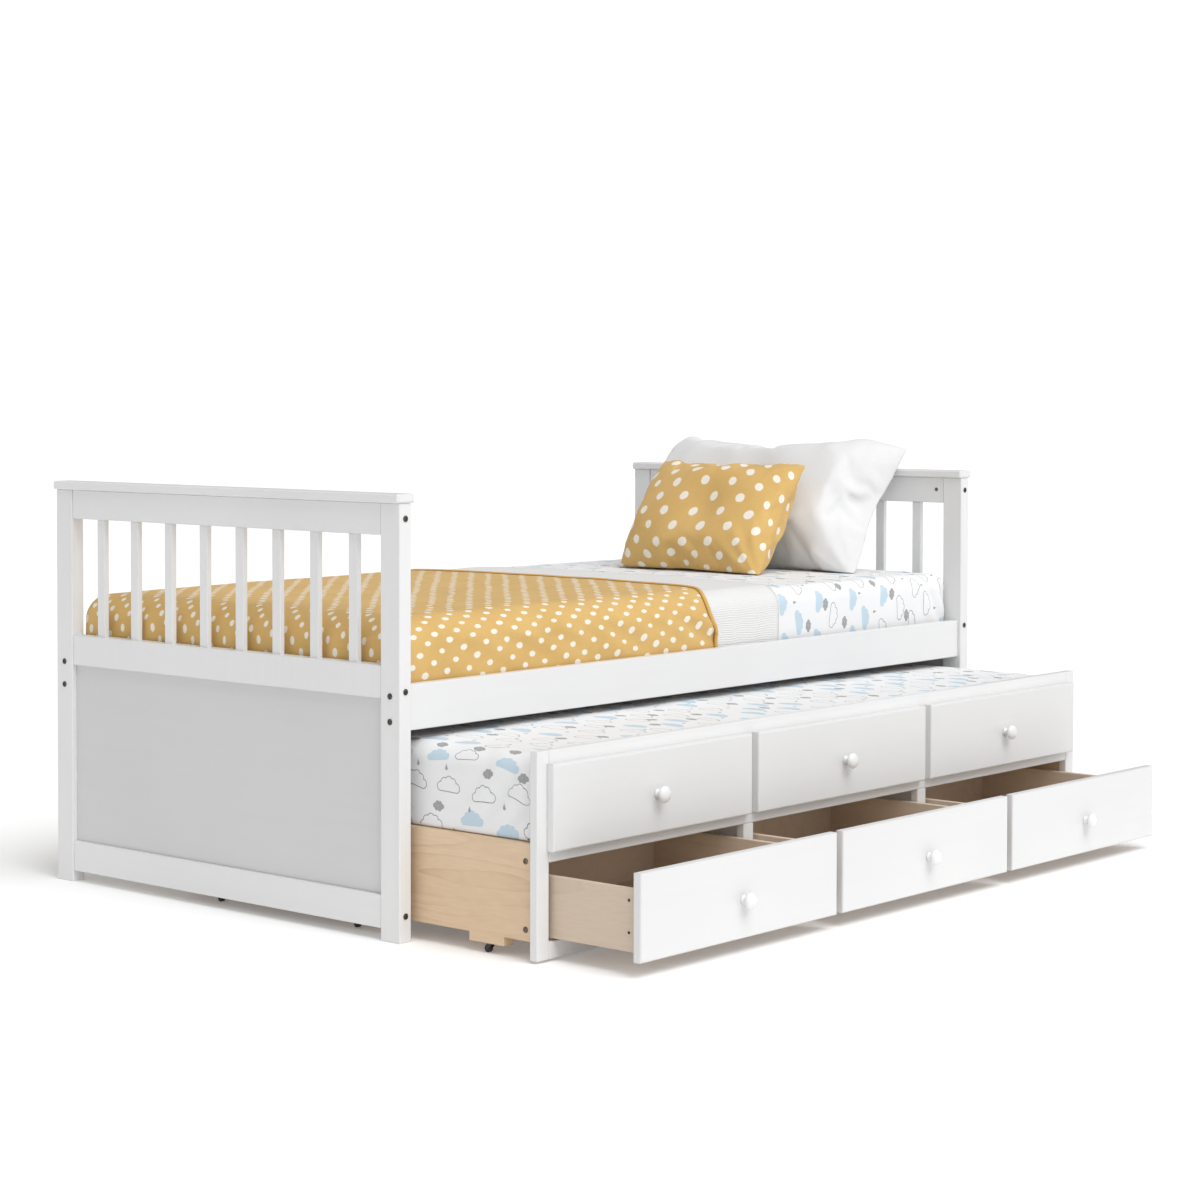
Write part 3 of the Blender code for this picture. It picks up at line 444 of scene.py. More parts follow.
paintFinishes = {
    # the recessed panel's paint is greyer than the frame's white: painted shade for the recess
    "panelPaint": {"along": "y", "light": grey(0.635), "dark": grey(0.612), "worn": grey(0.66), "rough": 0.42,
                   "grain": 0.15},
    # a darker copy of the frame's white paint for the drawer and sham fronts: painted shade that holds back the
    # extra light they get from the floor
    "frontPaint": {"along": "x", "light": (0.745, 0.745, 0.743), "dark": grey(0.722), "worn": (0.77, 0.767, 0.76),
                   "rough": 0.34, "grain": 0.2, "soften": 0.0035},
    "knobPaint": {"along": "y", "light": grey(0.81), "dark": grey(0.79), "worn": (0.83, 0.83, 0.825), "rough": 0.22,
                  "grain": 0.1, "soften": 0.0008},
}
for axis in "xyz":
    paintFinishes["whitePaint" + axis.upper()] = {"along": axis, "light": grey(0.775), "dark": grey(0.745),
                                                  "worn": (0.80, 0.797, 0.79)}

woodFinishes = {
    "slatPine": {"along": "y", "pale": (0.78, 0.62, 0.42), "mid": (0.71, 0.54, 0.345), "deep": (0.50, 0.33, 0.18),
                 "rings": 7.0},
    "drawerWood": {"along": "y", "pale": (0.69, 0.57, 0.455), "mid": (0.63, 0.51, 0.40), "deep": (0.46, 0.35, 0.265),
                   "rings": 6.0, "strength": 0.35},
}
for axis in "xy":
    woodFinishes["pine" + axis.upper()] = {"along": axis, "pale": (0.78, 0.60, 0.42), "mid": (0.71, 0.52, 0.345),
                                           "deep": (0.50, 0.32, 0.18)}

dottedFinishes = {
    "coverletCloth": {"thread": 0.0010, "Pitch": 0.0329, "Row": 0.0398, "Turn": math.radians(46.8), "Radius": 0.0071,
                      "Stretch": (0.85, 1.26, 1.0)},
    "dottedPillowCloth": {"thread": 0.0011, "Pitch": 0.069, "Row": 0.0335, "Turn": 0.0, "Radius": 0.0100,
                          "Stretch": (1.0, 1.0, 1.0)},
}
plainFinishes = {
    "pipingCloth": {"light": (0.74, 0.44, 0.12), "shade": 0.86, "thread": 0.0011},
    # the dark brown cord along the hem is painted shadow for the groove between the piping and the coverlet
    "seamCloth": {"light": (0.33, 0.17, 0.04), "shade": 0.8, "thread": 0.0009},
    "threadCloth": {"light": (0.62, 0.35, 0.085), "shade": 0.85, "thread": 0.0006},
    # the blanket's shade value also sets the painted shade in its rib valleys
    "blanketCloth": {"light": (0.80, 0.80, 0.795), "shade": 0.93, "thread": 0.0010, "ribs": 0.0052, "bump": 0.5},
    "pillowCloth": {"light": (0.785, 0.785, 0.79), "shade": 0.965, "thread": 0.0012},
}
metalFinishes = {
    "boltMetal": {"light": (0.15, 0.13, 0.11), "dark": (0.08, 0.068, 0.058), "rough": 0.40},
    "nutMetal": {"light": (0.24, 0.205, 0.15), "dark": (0.11, 0.09, 0.065), "rough": 0.36},
    "screwMetal": {"light": (0.10, 0.085, 0.07), "dark": (0.05, 0.045, 0.04), "rough": 0.42},
}
plasticFinishes = {"casterNylon": {"light": (0.028, 0.028, 0.03), "dark": (0.018, 0.018, 0.02), "rough": 0.42}}

materials = {"sheetPrint": sheetMaterial("sheetPrint")}
for makeMaterial, finishes in (
        (paintMaterial, paintFinishes), (woodMaterial, woodFinishes), (dottedMaterial, dottedFinishes),
        (plainClothMaterial, plainFinishes), (metalMaterial, metalFinishes), (plasticMaterial, plasticFinishes)):
    for name, values in finishes.items():
        materials[name] = makeMaterial(name, **values)
print("materials built:", len(materials))


# Finishes of the CAD pieces that stay in view

nodeFinishes = {
    # the first entry that a node's name contains gives its material
    "_panel": "panelPaint", "drawer_front": "frontPaint", "sham_front": "frontPaint", "drawer_box": "drawerWood",
    "_post": "whitePaintZ", "spindle": "whitePaintZ", "foot_": "whitePaintY", "head_": "whitePaintY",
    "side_rail": "whitePaintX", "trundle_top_board": "whitePaintX", "trundle_bottom_rail": "whitePaintX",
    "trundle_stile": "whitePaintZ", "trundle_divider": "whitePaintZ", "trundle_end": "pineY",
    "trundle_back_board": "pineX", "_slats": "slatPine", "caster": "casterNylon", "knob": "knobPaint",
}
for name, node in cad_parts.items():
    finish = next((materials[nodeFinishes[part]] for part in nodeFinishes if part in name), None)
    if finish:
        for index in range(max(1, len(node.data.materials))):
            if len(node.data.materials) > index:
                node.data.materials[index] = finish
            else:
                node.data.materials.append(finish)
print("finishes set on CAD pieces")


# Shared mesh helpers

def meshPiece(name, points, faces, material, smooth=True):
    mesh = bpy.data.meshes.new(name)
    mesh.from_pydata([tuple(p) for p in points], [], faces)
    mesh.update()
    if smooth:
        mesh.polygons.foreach_set("use_smooth", [True] * len(mesh.polygons))
    mesh.materials.append(material)
    piece = bpy.data.objects.new(name, mesh)
    bpy.context.scene.collection.objects.link(piece)
    return piece


def freeze(piece):
    graph = bpy.context.evaluated_depsgraph_get()
    done = piece.evaluated_get(graph)
    mesh = bpy.data.meshes.new_from_object(done, preserve_all_data_layers=True, depsgraph=graph)
    piece.modifiers.clear()
    old = piece.data
    piece.data = mesh
    bpy.data.meshes.remove(old)
    mesh.name = piece.name
    return piece


def setMap(piece, places):
    layer = piece.data.uv_layers.get("clothMap") or piece.data.uv_layers.new(name="clothMap")
    corners = np.zeros(len(piece.data.loops), np.int32)
    piece.data.loops.foreach_get("vertex_index", corners)
    layer.data.foreach_set("uv", np.asarray(places, np.float32)[corners].ravel())


def pointsOf(piece):
    co = np.zeros(len(piece.data.vertices) * 3, np.float32)
    piece.data.vertices.foreach_get("co", co)
    return co.reshape(-1, 3).astype(float)


def setPoints(piece, points):
    piece.data.vertices.foreach_set("co", np.asarray(points, np.float32).ravel())
    piece.data.update()


def ripple(points, scale, seed):
    offset = Vector((seed * 17.3, seed * 5.1, seed * 9.7))
    return np.array([noise.noise(Vector(p) * scale + offset) for p in points])


def bumpAt(value, middle, spread):
    return np.exp(-((value - middle) / spread) ** 2)


# Rounded slab: the body of a mattress and of the cloth that lies on it

def lines(low, high, edgeLow, edgeHigh, fine, coarse):
    parts = [np.array([low])]
    turns = (low, low + edgeLow, high - edgeHigh, high)
    for start, end, step in zip(turns, turns[1:], (fine, coarse, fine)):
        if end - start > 1e-6:
            parts.append(np.linspace(start, end, max(1, round((end - start) / step)) + 1)[1:])
    return np.concatenate(parts)


slabGrid = {"edge": 0.066, "fine": 0.006, "coarse": 0.013}


def slab(low, high, corner, topRadius, footRadius, sides):
    # sides holds x, y, z for the faces on the low side and X, Y, Z for those on the high side
    edges = [[slabGrid["edge"] if letters[i] in sides else 0.0 for letters in ("xyz", "XYZ")] for i in range(3)]
    axes = [lines(low[i], high[i], *edges[i], slabGrid["fine"], slabGrid["coarse"]) for i in range(3)]
    count = [len(a) for a in axes]
    index, points, faces = {}, [], []

    def pointAt(key):
        if key not in index:
            index[key] = len(points)
            points.append([axes[i][key[i]] for i in range(3)])
        return index[key]

    for axis in range(3):
        for isHigh in (False, True):
            if ("XYZ" if isHigh else "xyz")[axis] not in sides:
                continue
            first, second = (axis + 1) % 3, (axis + 2) % 3
            for i in range(count[first] - 1):
                for j in range(count[second] - 1):
                    ring = []
                    for a, b in ((0, 0), (1, 0), (1, 1), (0, 1)):
                        key = [0, 0, 0]
                        key[axis] = count[axis] - 1 if isHigh else 0
                        key[first], key[second] = i + a, j + b
                        ring.append(pointAt(tuple(key)))
                    faces.append(ring if isHigh else ring[::-1])
    flat = np.array(points)

    def outOf(radius):
        core = flat[:, :2].copy()
        for i in (0, 1):
            if "xyz"[i] in sides:
                core[:, i] = np.maximum(core[:, i], low[i] + radius)
            if "XYZ"[i] in sides:
                core[:, i] = np.minimum(core[:, i], high[i] - radius)
        out = flat[:, :2] - core
        length = np.maximum(np.linalg.norm(out, axis=1), 1e-9)[:, None]
        return core, np.abs(out).max(1), out / length

    core, reach, unit = outOf(corner)
    made = np.concatenate([core + reach[:, None] * unit, flat[:, 2:]], 1)
    for radius, isTop in ((topRadius, True), (footRadius, False)):
        if radius <= 0:
            continue
        _, reach, unit = outOf(radius)
        rise = np.maximum(0, flat[:, 2] - high[2] + radius if isTop else low[2] + radius - flat[:, 2])
        length = np.maximum(np.hypot(reach, rise), 1e-9)
        scale = np.where(np.maximum(reach, rise) > radius - 1e-9, radius / length, 1.0)
        inward = np.where(rise > 0, reach * (1 - scale), 0.0)
        made[:, :2] -= unit * inward[:, None]
        lifted = (high[2] - radius + rise * scale) if isTop else (low[2] + radius - rise * scale)
        made[:, 2] = np.where(rise > 0, lifted, made[:, 2])
    return made, normalsOf(made, faces), faces, flat


def normalsOf(points, faces):
    quads = np.array(faces)
    across = np.cross(points[quads[:, 2]] - points[quads[:, 0]], points[quads[:, 3]] - points[quads[:, 1]])
    total = np.zeros_like(points)
    for k in range(4):
        np.add.at(total, quads[:, k], across)
    return total / np.maximum(np.linalg.norm(total, axis=1), 1e-12)[:, None]


def clothPlaces(points, low, high):
    middle = (low[1] + high[1]) / 2
    drop = np.maximum(0.0, high[2] - points[:, 2])
    toEnd = np.maximum(0.0, np.minimum(points[:, 0] - low[0], high[0] - points[:, 0]))
    toSide = np.maximum(0.0, np.minimum(points[:, 1] - low[1], high[1] - points[:, 1]))
    sideShare = toEnd ** 2 / (toEnd ** 2 + toSide ** 2 + 1e-7)
    a = -points[:, 1] + np.where(points[:, 1] < middle, 1.0, -1.0) * drop * sideShare
    b = points[:, 0] + np.where(points[:, 0] < (low[0] + high[0]) / 2, -1.0, 1.0) * drop * (1 - sideShare)
    return np.stack([a, b], 1)


# Mattresses

bedMattress = {"corner": 0.009, "topRadius": 0.036, "footRadius": 0.010, "inset": 0.0052, "topInset": 0.0030,
               "headReach": 0.009, "crown": 0.0080, "unevenness": 0.0016, "cornerPulls": 0.0022}
trundleMattress = {"corner": 0.014, "topRadius": 0.036, "footRadius": 0.009, "inset": 0.0050, "topInset": 0.0040,
                   "headReach": 0.0, "crown": 0.0040, "unevenness": 0.0024, "cornerPulls": 0.0032}
# where the fitted sheet is gathered, low on the mattress's sides, and where it pulls at the corners
puckers = {"depth": 0.0016, "turns": 190, "height": 0.018}
pulls = {"turns": 95.0, "twist": 22.0, "middle": 0.09, "reach": 0.085}


def crownOf(points, low, high, crown):
    u = (2 * points[:, 0] - low[0] - high[0]) / (high[0] - low[0])
    v = (2 * points[:, 1] - low[1] - high[1]) / (high[1] - low[1])
    return crown * (1 - np.clip(u, -1, 1) ** 4) * (1 - np.clip(v, -1, 1) ** 4)


def cornerPulls(points, low, high, amount):
    total = np.zeros(len(points))
    for cx in (low[0], high[0]):
        for cy in (low[1], high[1]):
            dx, dy = points[:, 0] - cx, points[:, 1] - cy
            dz = high[2] - points[:, 2]
            away = np.sqrt(dx ** 2 + dy ** 2 + dz ** 2)
            along = np.abs(dx) - np.abs(dy) + 0.6 * dz
            wave = np.sin(along * pulls["turns"] + away * pulls["twist"])
            total += amount * wave * bumpAt(away, pulls["middle"], pulls["reach"])
    return total


def broadWaves(points, values):
    return values["unevenness"] * ripple(points, 7.0, 1)


def pushOut(points, normal, push, low, high, values):
    points = points + normal * push[:, None]
    points[:, 2] += np.clip(normal[:, 2], 0, 1) * crownOf(points, low, high, values["crown"])
    return points


def makeMattress(name, node, body, values):
    low, high = (np.array(c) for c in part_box(node))
    inset = values["inset"]
    low, high = low + [inset, inset, 0.0002], high - [inset - values["headReach"], inset, values["topInset"]]
    points, normal, faces, _ = slab(low, high, values["corner"], values["topRadius"], values["footRadius"], "xyzXYZ")
    side = np.clip(1 - np.abs(normal[:, 2]), 0, 1)
    rise = points[:, 2] - low[2]
    push = broadWaves(points, values) + 0.5 * values["unevenness"] * ripple(points * [1, 1, 2.5], 19.0, 2)
    push += cornerPulls(points, low, high, values["cornerPulls"]) * np.maximum(side, 0.4)
    gathers = np.sin(points[:, 1] * puckers["turns"] + 3 * ripple(points, 9.0, 4))
    push += puckers["depth"] * gathers * np.exp(-(rise / puckers["height"]) ** 2) * side
    push *= np.where(normal[:, 2] < -0.5, 0.0, 1.0) * np.clip(rise / 0.03, 0, 1)
    points = pushOut(points, normal, push, low, high, values)
    piece = meshPiece(name, points, faces, materials["sheetPrint"])
    setMap(piece, clothPlaces(points, low, high))
    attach(piece, body)
    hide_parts(node)
    return piece


makeMattress("bedMattress", "mattress", "bed", bedMattress)
makeMattress("trundleMattress", "trundle_mattress", "trundle", trundleMattress)
print("mattresses built")


# Coverlet and blanket, which follow the mattress under them

coverlet = {
    "thickness": 0.0055, "clearance": 0.0030, "corner": 0.030, "topRadius": 0.056, "tuckHeight": 0.468,
    "hemStart": 0.08, "hemSwing": 0.027, "hemReach": 0.045, "flat": (1.27, 1.14),
    "folds": 0.0062, "sideFolds": 8, "footFolds": 7, "foldSeed": 11, "dip": -0.0016,
    "sideStart": -0.86, "sideLength": 0.9, "footLength": 0.98, "slopes": (1.3, 1.3), "widths": (0.012, 0.012),
    # the dark hem cord's radius and set-back place a painted shadow line in the groove behind the piping
    "pipingRadius": 0.0055, "hemShadowRadius": 0.0014, "hemShadowBack": 0.0062, "stitchBack": 0.0112, "stitchPitch": 0.0046,
}
blanket = {"thickness": 0.0034, "clearance": 0.0016, "corner": 0.025, "topRadius": 0.047, "tuckHeight": 0.468,
           "hemGap": 0.0022, "wander": 0.004, "flat": (1.25, 0.24)}
railTop = 0.506  # below this the cloth lies against the rails and stays smooth

bedLow, bedHigh = (np.array(c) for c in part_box("mattress"))
bedTop = bedHigh[2] - bedMattress["topInset"]
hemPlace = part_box("coverlet")[1].x


def hemLine(points):
    # straight across the bed, a little back towards the foot where it turns down over each edge
    toEdge = np.minimum(points[:, 1] - bedLow[1], bedHigh[1] - points[:, 1])
    away = np.hypot(toEdge - 0.012, points[:, 2] - bedTop + 0.024)
    return hemPlace - coverlet["hemSwing"] * np.exp(-(away / coverlet["hemReach"]) ** 2)


def foldField(points, normal):
    # diagonal pulls on the parts that hang, each a ridge with a shallow dip beside it
    rng = np.random.default_rng(coverlet["foldSeed"])
    total = np.zeros(len(points))
    drop = bedHigh[2] - points[:, 2]
    for side in (-1, 1):
        facing = np.clip(normal[:, 1] * side, 0, 1)
        for k in range(coverlet["sideFolds"]):
            step = coverlet["sideLength"] / coverlet["sideFolds"]
            start = coverlet["sideStart"] + (k + 0.2 + 0.6 * rng.random()) * step
            slope = coverlet["slopes"][0] + coverlet["slopes"][1] * rng.random()
            width = coverlet["widths"][0] + coverlet["widths"][1] * rng.random()
            size = 0.5 + 0.5 * rng.random()
            across = (points[:, 0] - start - slope * drop) / math.sqrt(1 + slope ** 2)
            fade = np.clip((drop - 0.012) / 0.05, 0, 1)
            total += facing * fade * size * (bumpAt(across, 0, width) - 0.55 * bumpAt(across, -1.9 * width, width))
    facing = np.clip(-normal[:, 0], 0, 1)
    for k in range(coverlet["footFolds"]):
        start = bedLow[1] + (k + 0.3 + 0.4 * rng.random()) * coverlet["footLength"] / coverlet["footFolds"]
        across = (points[:, 1] - start - 0.5 * (rng.random() - 0.5) * drop) / 1.05
        total += 0.6 * facing * np.clip((drop - 0.01) / 0.05, 0, 1) * bumpAt(across, 0, 0.016)
    return total


def coverBox(values, start, length):
    # the low and high corner of a cover on the bed, grown from the mattress by its clearance and thickness
    grow = values["clearance"] + values["thickness"]
    inset = bedMattress["inset"]
    low = np.array([start - grow, bedLow[1] + inset - grow, values["tuckHeight"]])
    return low, np.array([low[0] + length, bedHigh[1] - inset + grow, bedTop + grow])


def freeOfRail(points):
    return np.clip((points[:, 2] - railTop) / 0.02, 0, 1)


def coverletPiece():
    low, high = coverBox(coverlet, bedLow[0] + bedMattress["inset"], 1.0)
    farSide, start = high[0], low[0] + coverlet["hemStart"]
    points, normal, faces, flat = slab(low, high, coverlet["corner"], coverlet["topRadius"], 0.0, "xyYZ")
    points[:, 0] += np.clip((points[:, 0] - start) / (farSide - start), 0, 1) * (hemLine(points) - farSide)
    up, free = np.clip(normal[:, 2], 0, 1), freeOfRail(points)
    fold = coverlet["folds"] * foldField(points, normal) * free
    fold += 0.0026 * (ripple(points * [1, 1, 1.6], 10.0, 7) + 0.3) * free * np.clip(1.2 - up, 0, 1)
    fold += 0.0016 * (ripple(points, 6.0, 8) + 0.4) * up
    push = np.maximum(broadWaves(points, bedMattress), 0) + np.maximum(fold, coverlet["dip"])
    points = pushOut(points, normal, push, bedLow, bedHigh, bedMattress)
    piece = meshPiece("dottedCoverlet", points, faces, materials["coverletCloth"])
    setMap(piece, clothPlaces(points, np.array([low[0], low[1], 0]), np.array([bedHigh[0], high[1], high[2]])))
    return piece, points, normal, [i for i in range(len(points)) if abs(flat[i][0] - farSide) < 1e-6]


def pathOfEdge(points, edge):
    # the hem's points in order, from the front tuck up, across the top and down to the back tuck
    middle = (bedHigh[1] + bedLow[1]) / 2
    low = bedHigh[2] - 0.035
    front = sorted((i for i in edge if points[i][2] < low and points[i][1] < middle), key=lambda i: points[i][2])
    back = sorted((i for i in edge if points[i][2] < low and points[i][1] > middle), key=lambda i: -points[i][2])
    rest = set(edge) - set(front) - set(back)
    return [points[i] for i in front + sorted(rest, key=lambda i: points[i][1]) + back]


def thicken(piece, amount):
    solid = piece.modifiers.new("thickness", "SOLIDIFY")
    solid.thickness = amount
    solid.offset = -1.0
    solid.use_even_offset = False
    return freeze(piece)


# Geometry Nodes: tubes along a path, stitches along a path, and heads of fittings

def geometryTree(name, inputs):
    common = [("Smooth", "Bool", True), ("Material", "Material")]
    shape = ("Geometry", "Geometry")
    return newTree("GeometryNodeTree", name, [shape, *inputs, *common], [shape])


def closeTree(w, shape, given, result):
    real = w.make("GeometryNodeRealizeInstances", {0: shape})
    smooth = w.make("GeometryNodeSetShadeSmooth", {0: real, "Shade Smooth": given["Smooth"]})
    painted = w.make("GeometryNodeSetMaterial", {0: smooth, "Material": given["Material"]})
    w.feed(result[0], painted)


def evenPath(w, given, step):
    curve = w.make("GeometryNodeMeshToCurve", {0: given["Geometry"]})
    return w.make("GeometryNodeResampleCurve", {"Curve": curve, "Length": step}, mode="LENGTH")


def pathTubeTree():
    tree, w, given, result = geometryTree(
        "pathTube", [("Radius", "Float", 0.005), ("Spacing", "Float", 0.006), ("Sides", "Int", 12)])
    even = evenPath(w, given, given["Spacing"])
    ring = w.make("GeometryNodeCurvePrimitiveCircle", {
        "Radius": given["Radius"], "Resolution": given["Sides"]})
    tube = w.make("GeometryNodeCurveToMesh", {"Curve": even, "Profile Curve": ring, "Fill Caps": True})
    closeTree(w, tube, given, result)
    return tree


def stitchTree():
    tree, w, given, result = geometryTree(
        "stitches", [("Pitch", "Float", 0.0046), ("Length", "Float", 0.0030), ("Radius", "Float", 0.00055)])
    even = evenPath(w, given, given["Pitch"])
    points = w.add("GeometryNodeCurveToPoints", {"Curve": even}, mode="EVALUATED").outputs
    thread = w.make("GeometryNodeMeshUVSphere", {"Segments": 6, "Rings": 5, "Radius": given["Radius"]})
    stretch = w.calc("DIVIDE", given["Length"], w.times(given["Radius"], 2.0))
    long = w.make("GeometryNodeTransform", {0: thread, "Scale": w.join(1.0, 1.0, stretch)})
    placed = w.make("GeometryNodeInstanceOnPoints", {
        "Points": points[0], "Instance": long, "Rotation": points["Rotation"]})
    closeTree(w, placed, given, result)
    return tree


def raised(w, shape, height):
    return w.make("GeometryNodeTransform", {0: shape, "Translation": w.join(0.0, 0.0, height)})


def headTree():
    tree, w, given, result = geometryTree("fittingHeads", [
        ("Radius", "Float", 0.0044), ("Rise", "Float", 0.002), ("Socket Radius", "Float", 0.0025),
        ("Socket Depth", "Float", 0.0015), ("Socket Sides", "Int", 6), ("Sides", "Int", 28)])
    rim = w.times(given["Rise"], 0.7)  # the rest of the rise is the bevelled top
    disc = w.make("GeometryNodeMeshCylinder", {
        "Vertices": given["Sides"], "Radius": given["Radius"], "Depth": rim}, fill_type="NGON")
    cone = w.make("GeometryNodeMeshCone", {
        "Vertices": given["Sides"], "Radius Top": w.times(given["Radius"], 0.86), "Radius Bottom": given["Radius"],
        "Depth": w.times(given["Rise"], 0.3)}, fill_type="NGON")
    union = w.add("GeometryNodeMeshBoolean", operation="UNION", solver="EXACT")
    w.feed(union.inputs["Mesh 2"], raised(w, disc, w.times(given["Rise"], 0.35)))
    w.feed(union.inputs["Mesh 2"], raised(w, cone, rim))
    socket = w.make("GeometryNodeMeshCylinder", {
        "Vertices": given["Socket Sides"], "Radius": given["Socket Radius"],
        "Depth": w.times(given["Socket Depth"], 2.0)}, fill_type="NGON")
    cut = w.add("GeometryNodeMeshBoolean", {"Mesh 1": union.outputs[0]}, operation="DIFFERENCE", solver="EXACT")
    w.feed(cut.inputs["Mesh 2"], raised(w, socket, given["Rise"]))
    facing = w.make("GeometryNodeInputNamedAttribute", {"Name": "facing"}, data_type="FLOAT_VECTOR")
    turned = w.make("FunctionNodeAlignRotationToVector", {"Vector": facing}, axis="Z")
    spin = w.add("FunctionNodeRandomValue", {"Min": 0.0, "Max": 6.28, "Seed": 5}, data_type="FLOAT")
    ownTurn = w.add("FunctionNodeAxisAngleToRotation", {"Axis": (0.0, 0.0, 1.0)})
    w.feed(ownTurn.inputs["Angle"], [o for o in spin.outputs if o.type == "VALUE" and o.enabled][0])
    rotation = w.make("FunctionNodeRotateRotation", {
        0: turned, 1: ownTurn.outputs[0]}, rotation_space="LOCAL")
    placed = w.make("GeometryNodeInstanceOnPoints", {
        "Points": given["Geometry"], "Instance": cut.outputs[0], "Rotation": rotation})
    closeTree(w, placed, given, result)
    return tree


trees = {"tube": pathTubeTree(), "stitches": stitchTree(), "heads": headTree()}


def grown(name, tree, points, values, body, edges=(), facing=None):
    mesh = bpy.data.meshes.new(name)
    mesh.from_pydata([tuple(p) for p in points], list(edges), [])
    if facing is not None:
        layer = mesh.attributes.new("facing", "FLOAT_VECTOR", "POINT")
        layer.data.foreach_set("vector", np.asarray(facing, np.float32).ravel())
    piece = bpy.data.objects.new(name, mesh)
    bpy.context.scene.collection.objects.link(piece)
    modifier = piece.modifiers.new("shape", "NODES")
    modifier.node_group = trees[tree]
    sockets = {s.name: s.identifier for s in trees[tree].interface.items_tree if s.in_out == "INPUT"}
    for label, value in values.items():
        modifier[sockets[label]] = value
    freeze(piece)
    if body:
        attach(piece, body)
    return piece


def chain(count):
    return [(i, i + 1) for i in range(count - 1)]


def tubeMap(piece):
    points = pointsOf(piece)
    setMap(piece, np.stack([points[:, 1] + points[:, 2], points[:, 0] + 0.7 * points[:, 2]], 1))


def addTrim(name, tree, lift, back, values):
    # a tube or stitches along the hem, lifted by a share of the coverlet's thickness and set back towards the foot
    raisedBy = clothNormal * coverlet["thickness"] * lift
    path = pathOfEdge(clothPoints + raisedBy - np.array([back, 0, 0]), hemEdge)
    piece = grown(name, tree, path, values, "bed", chain(len(path)))
    tubeMap(piece)
    return piece


cloth, clothPoints, clothNormal, hemEdge = coverletPiece()
thicken(cloth, coverlet["thickness"])
piping = addTrim("coverletPiping", "tube", -0.35, -0.0015, {
    "Radius": coverlet["pipingRadius"], "Spacing": 0.005, "Sides": 14, "Material": materials["pipingCloth"]})
# a thin dark cord just behind the piping: painted shadow line in the groove where piping and coverlet meet
seam = addTrim("coverletHemShadow", "tube", 0.04, coverlet["hemShadowBack"], {
    "Radius": coverlet["hemShadowRadius"], "Spacing": 0.005, "Sides": 8, "Material": materials["seamCloth"]})
stitches = addTrim("coverletStitches", "stitches", 0.02, coverlet["stitchBack"], {
    "Pitch": coverlet["stitchPitch"], "Material": materials["threadCloth"]})
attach(cloth, "bed")
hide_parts("coverlet")
print("coverlet built")


def blanketPiece():
    # made 0.3 m long from zero, then stretched between the coverlet's hem and its own far side
    low, high = coverBox(blanket, blanket["clearance"] + blanket["thickness"], 0.3)
    points, normal, faces, _ = slab(low, high, blanket["corner"], blanket["topRadius"], 0.0, "yYZ")
    start = hemLine(points) + coverlet["pipingRadius"] + blanket["hemGap"]
    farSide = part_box("blanket")[1].x + blanket["wander"] * np.sin(points[:, 1] * 9.0 + 0.6)
    points[:, 0] = start + points[:, 0] / high[0] * (farSide - start)
    push = np.maximum(broadWaves(points, bedMattress), 0)
    push += 0.0016 * (ripple(points * [1, 1, 1.5], 12.0, 9) + 0.35) * freeOfRail(points)
    points = pushOut(points, normal, push, bedLow, bedHigh, bedMattress)
    piece = meshPiece("whiteBlanket", points, faces, materials["blanketCloth"])
    setMap(piece, clothPlaces(points, np.array([bedLow[0], low[1], 0]), np.array([bedHigh[0], high[1], high[2]])))
    return piece


blanketSheet = blanketPiece()
thicken(blanketSheet, blanket["thickness"])
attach(blanketSheet, "bed")
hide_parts("blanket")
print("blanket built")


# Pillows: a flat cover of two sheets, inflated by cloth simulation and set where the CAD pillow stands

pillows = {
    # back is the share of the thickness on the side away from the head end
    "whitePillow": {
        "node": "white_pillow", "size": (0.727, 0.403, 0.198), "lean": math.radians(36.0), "grid": (78, 44),
        "back": 0.22, "pressure": 3.6, "cap": 0.075, "frames": 24, "material": "pillowCloth", "slot": "pillow_cloth",
        "dent": 0.004, "rumple": 0.0042, "crease": 0.0060, "seed": 3},
    "dottedPillow": {
        "node": "dotted_pillow", "size": (0.455, 0.334, 0.168), "lean": math.radians(34.5), "grid": (60, 44),
        "back": 0.54, "pressure": 3.6, "cap": 0.065, "frames": 24, "material": "dottedPillowCloth",
        "slot": "coverlet_cloth", "dent": 0.017, "rumple": 0.0036, "crease": 0.0046, "seed": 5},
}
pillowCloth = {"tension_stiffness": 15.0, "compression_stiffness": 15.0, "shear_stiffness": 5.0,
               "bending_stiffness": 0.15, "quality": 6}
pillowShape = {"waist": 0.035, "simulatedSwell": 0.55, "outline": 0.88, "seamWave": 0.0035, "seamTurns": 41,
               "gap": 0.0012, "soft": 0.010, "creaseFirst": 0.25, "creaseStep": 0.5, "creaseLength": (0.07, 0.05)}


def pillowCover(name, values, swell):
    # two sheets joined along one seam, in local (away, across, up) order
    width, height, thick = values["size"]
    across, up = values["grid"]
    points, faces, places, index, shares = [], [], [], {}, []
    for face in (-1, 1):
        for i in range(across + 1):
            for j in range(up + 1):
                u, v = 2 * i / across - 1, 2 * j / up - 1
                onSeam = abs(u) == 1 or abs(v) == 1
                if onSeam and (0, i, j) in index:
                    index[face, i, j] = index[0, i, j]
                    continue
                pull = 1 - pillowShape["waist"] * ((1 - u * u) * v * v + (1 - v * v) * u * u)
                rise = ((1 - u * u) * (1 - v * v)) ** 0.75 * thick * swell / 2
                index[face, i, j] = len(points)
                if onSeam:
                    index[0, i, j] = len(points)
                points.append((face * rise, u * width / 2 * pull, v * height / 2 * pull))
                places.append((-u * width / 2, v * height / 2))
                shares.append((u, v))
        for i in range(across):
            for j in range(up):
                ring = [index[face, a, b] for a, b in ((i, j), (i + 1, j), (i + 1, j + 1), (i, j + 1))]
                faces.append(ring if face > 0 else ring[::-1])
    piece = meshPiece(name, points, faces, materials[values["material"]])
    setMap(piece, places)
    return piece, np.array(shares), np.array(points)[:, 1:]


